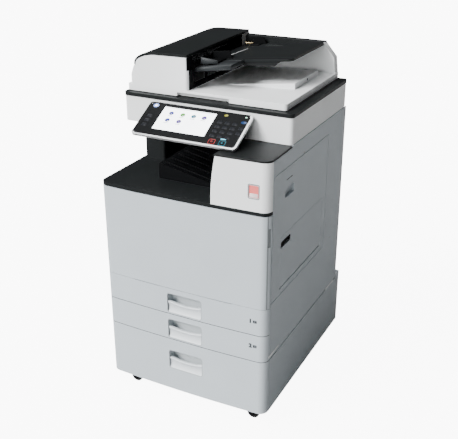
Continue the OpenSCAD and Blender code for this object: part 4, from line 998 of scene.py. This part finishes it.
def stage():
    """Pale floor, soft lights, white surroundings and the camera."""
    form = bmesh.new()
    bmesh.ops.create_grid(form, x_segments=1, y_segments=1, size=40)
    floor = from_bmesh("floor", form)
    nodes, links, shader = new_material("floor_paper")
    shader.inputs["Roughness"].default_value = 0.9
    shader.inputs["Specular IOR Level"].default_value = 0.05
    mottle = tint(nodes, links, object_noise(nodes, links, 12, 2), (0.34, 0.34, 0.34), 0.01)
    links.new(mottle, shader.inputs["Base Color"])
    # White to the eye, while its own light leaves the machine alone
    seen = nodes.new("ShaderNodeLightPath").outputs["Is Camera Ray"]
    shader.inputs["Emission Color"].default_value = (1, 1, 1, 1)
    links.new(remap(nodes, links, seen, 0, STUDIO_WHITE), shader.inputs["Emission Strength"])
    finish_of(floor, "floor_paper")

    soft_sun("key", (-0.42, -0.66, 0.62), 6.4, 26)
    soft_sun("front", (-0.06, -1.0, 0.20), 1.9, 40)
    soft_sun("top", (-0.25, 0.0, 1.0), 2.2, 40)

    world = bpy.data.worlds.new("studio")
    bpy.context.scene.world = world
    world.use_nodes = True
    nodes, links = world.node_tree.nodes, world.node_tree.links
    background = nodes["Background"]
    background.inputs["Color"].default_value = (1, 1, 1, 1)
    seen = nodes.new("ShaderNodeLightPath").outputs["Is Camera Ray"]
    links.new(remap(nodes, links, seen, 0.05, STUDIO_WHITE), background.inputs["Strength"])

    data = bpy.data.cameras.new("camera")
    camera = add_object("camera", data)
    data.sensor_width = 36
    data.lens = 60.93
    data.clip_end = 200
    camera.location = (1.10366, -2.19378, 1.65887)
    camera.rotation_euler = (math.radians(90 - 24.285), 0, math.radians(26.84))
    bpy.context.scene.camera = camera


# ---------------------------------------------------------------- operators and panel

class COPIER_OT_finishes(bpy.types.Operator):
    """Make the plastics, metals, rubbers and prints of the machine"""
    bl_idname = "copier.finishes"
    bl_label = "Finishes"

    def execute(self, context):
        make_materials()
        return {"FINISHED"}


class COPIER_OT_shells(bpy.types.Operator):
    """Round and finish the covers, with their screws, slots and power inlet"""
    bl_idname = "copier.shells"
    bl_label = "Covers"

    def execute(self, context):
        shells()
        return {"FINISHED"}


class COPIER_OT_drawers(bpy.types.Operator):
    """Round and finish the three drawers and print their numbers"""
    bl_idname = "copier.drawers"
    bl_label = "Drawers"

    def execute(self, context):
        drawers()
        return {"FINISHED"}


class COPIER_OT_exit_bay(bpy.types.Operator):
    """Finish the deck, the paper exit and the front module"""
    bl_idname = "copier.exit_bay"
    bl_label = "Paper exit"

    def execute(self, context):
        exit_bay()
        return {"FINISHED"}


class COPIER_OT_scanner(bpy.types.Operator):
    """Finish the scanner, its rim, glass and scales"""
    bl_idname = "copier.scanner"
    bl_label = "Scanner"

    def execute(self, context):
        scanner()
        return {"FINISHED"}


class COPIER_OT_feeder(bpy.types.Operator):
    """Finish the document cover, feeder, tray and guides"""
    bl_idname = "copier.feeder"
    bl_label = "Document feeder"

    def execute(self, context):
        feeder()
        return {"FINISHED"}


class COPIER_OT_panel(bpy.types.Operator):
    """Finish the operation panel, its screen, icons and keys"""
    bl_idname = "copier.face"
    bl_label = "Operation panel"

    def execute(self, context):
        face_of_panel()
        return {"FINISHED"}


class COPIER_OT_casters(bpy.types.Operator):
    """Finish the casters and cut their tread"""
    bl_idname = "copier.casters"
    bl_label = "Casters"

    def execute(self, context):
        casters()
        return {"FINISHED"}


class COPIER_OT_engine(bpy.types.Operator):
    """Give the frame and the engine their finishes"""
    bl_idname = "copier.engine"
    bl_label = "Engine"

    def execute(self, context):
        engine()
        return {"FINISHED"}


class COPIER_OT_stage(bpy.types.Operator):
    """Set the floor, the lights and the camera"""
    bl_idname = "copier.stage"
    bl_label = "Stage"

    def execute(self, context):
        stage()
        return {"FINISHED"}


class COPIER_PT_sidebar(bpy.types.Panel):
    """Lists the steps that finish the machine"""
    bl_label = "Photocopier"
    bl_space_type = "VIEW_3D"
    bl_region_type = "UI"
    bl_category = "Photocopier"

    def draw(self, context):
        layout = self.layout
        for name in ("edge_round", "key_size", "mark_size", "grain"):
            layout.prop(context.scene.copier_sizes, name)
        for name in ("bright", "cool", "dark", "screen"):
            layout.prop(context.scene.copier_colours, name)
        for step in OPERATORS:
            layout.operator(step.bl_idname)


OPERATORS = (COPIER_OT_finishes, COPIER_OT_shells, COPIER_OT_drawers, COPIER_OT_exit_bay,
             COPIER_OT_scanner, COPIER_OT_feeder, COPIER_OT_panel, COPIER_OT_casters,
             COPIER_OT_engine, COPIER_OT_stage)
CLASSES = (CopierSizes, CopierColours, *OPERATORS, COPIER_PT_sidebar)


def register():
    for item in CLASSES:
        bpy.utils.register_class(item)
    bpy.types.Scene.copier_sizes = PointerProperty(type=CopierSizes)
    bpy.types.Scene.copier_colours = PointerProperty(type=CopierColours)


def unregister():
    del bpy.types.Scene.copier_colours
    del bpy.types.Scene.copier_sizes
    for item in reversed(CLASSES):
        bpy.utils.unregister_class(item)


def main():
    register()
    for step in OPERATORS:
        group, name = step.bl_idname.split(".")
        getattr(getattr(bpy.ops, group), name)()


if __name__ == "__main__":
    main()
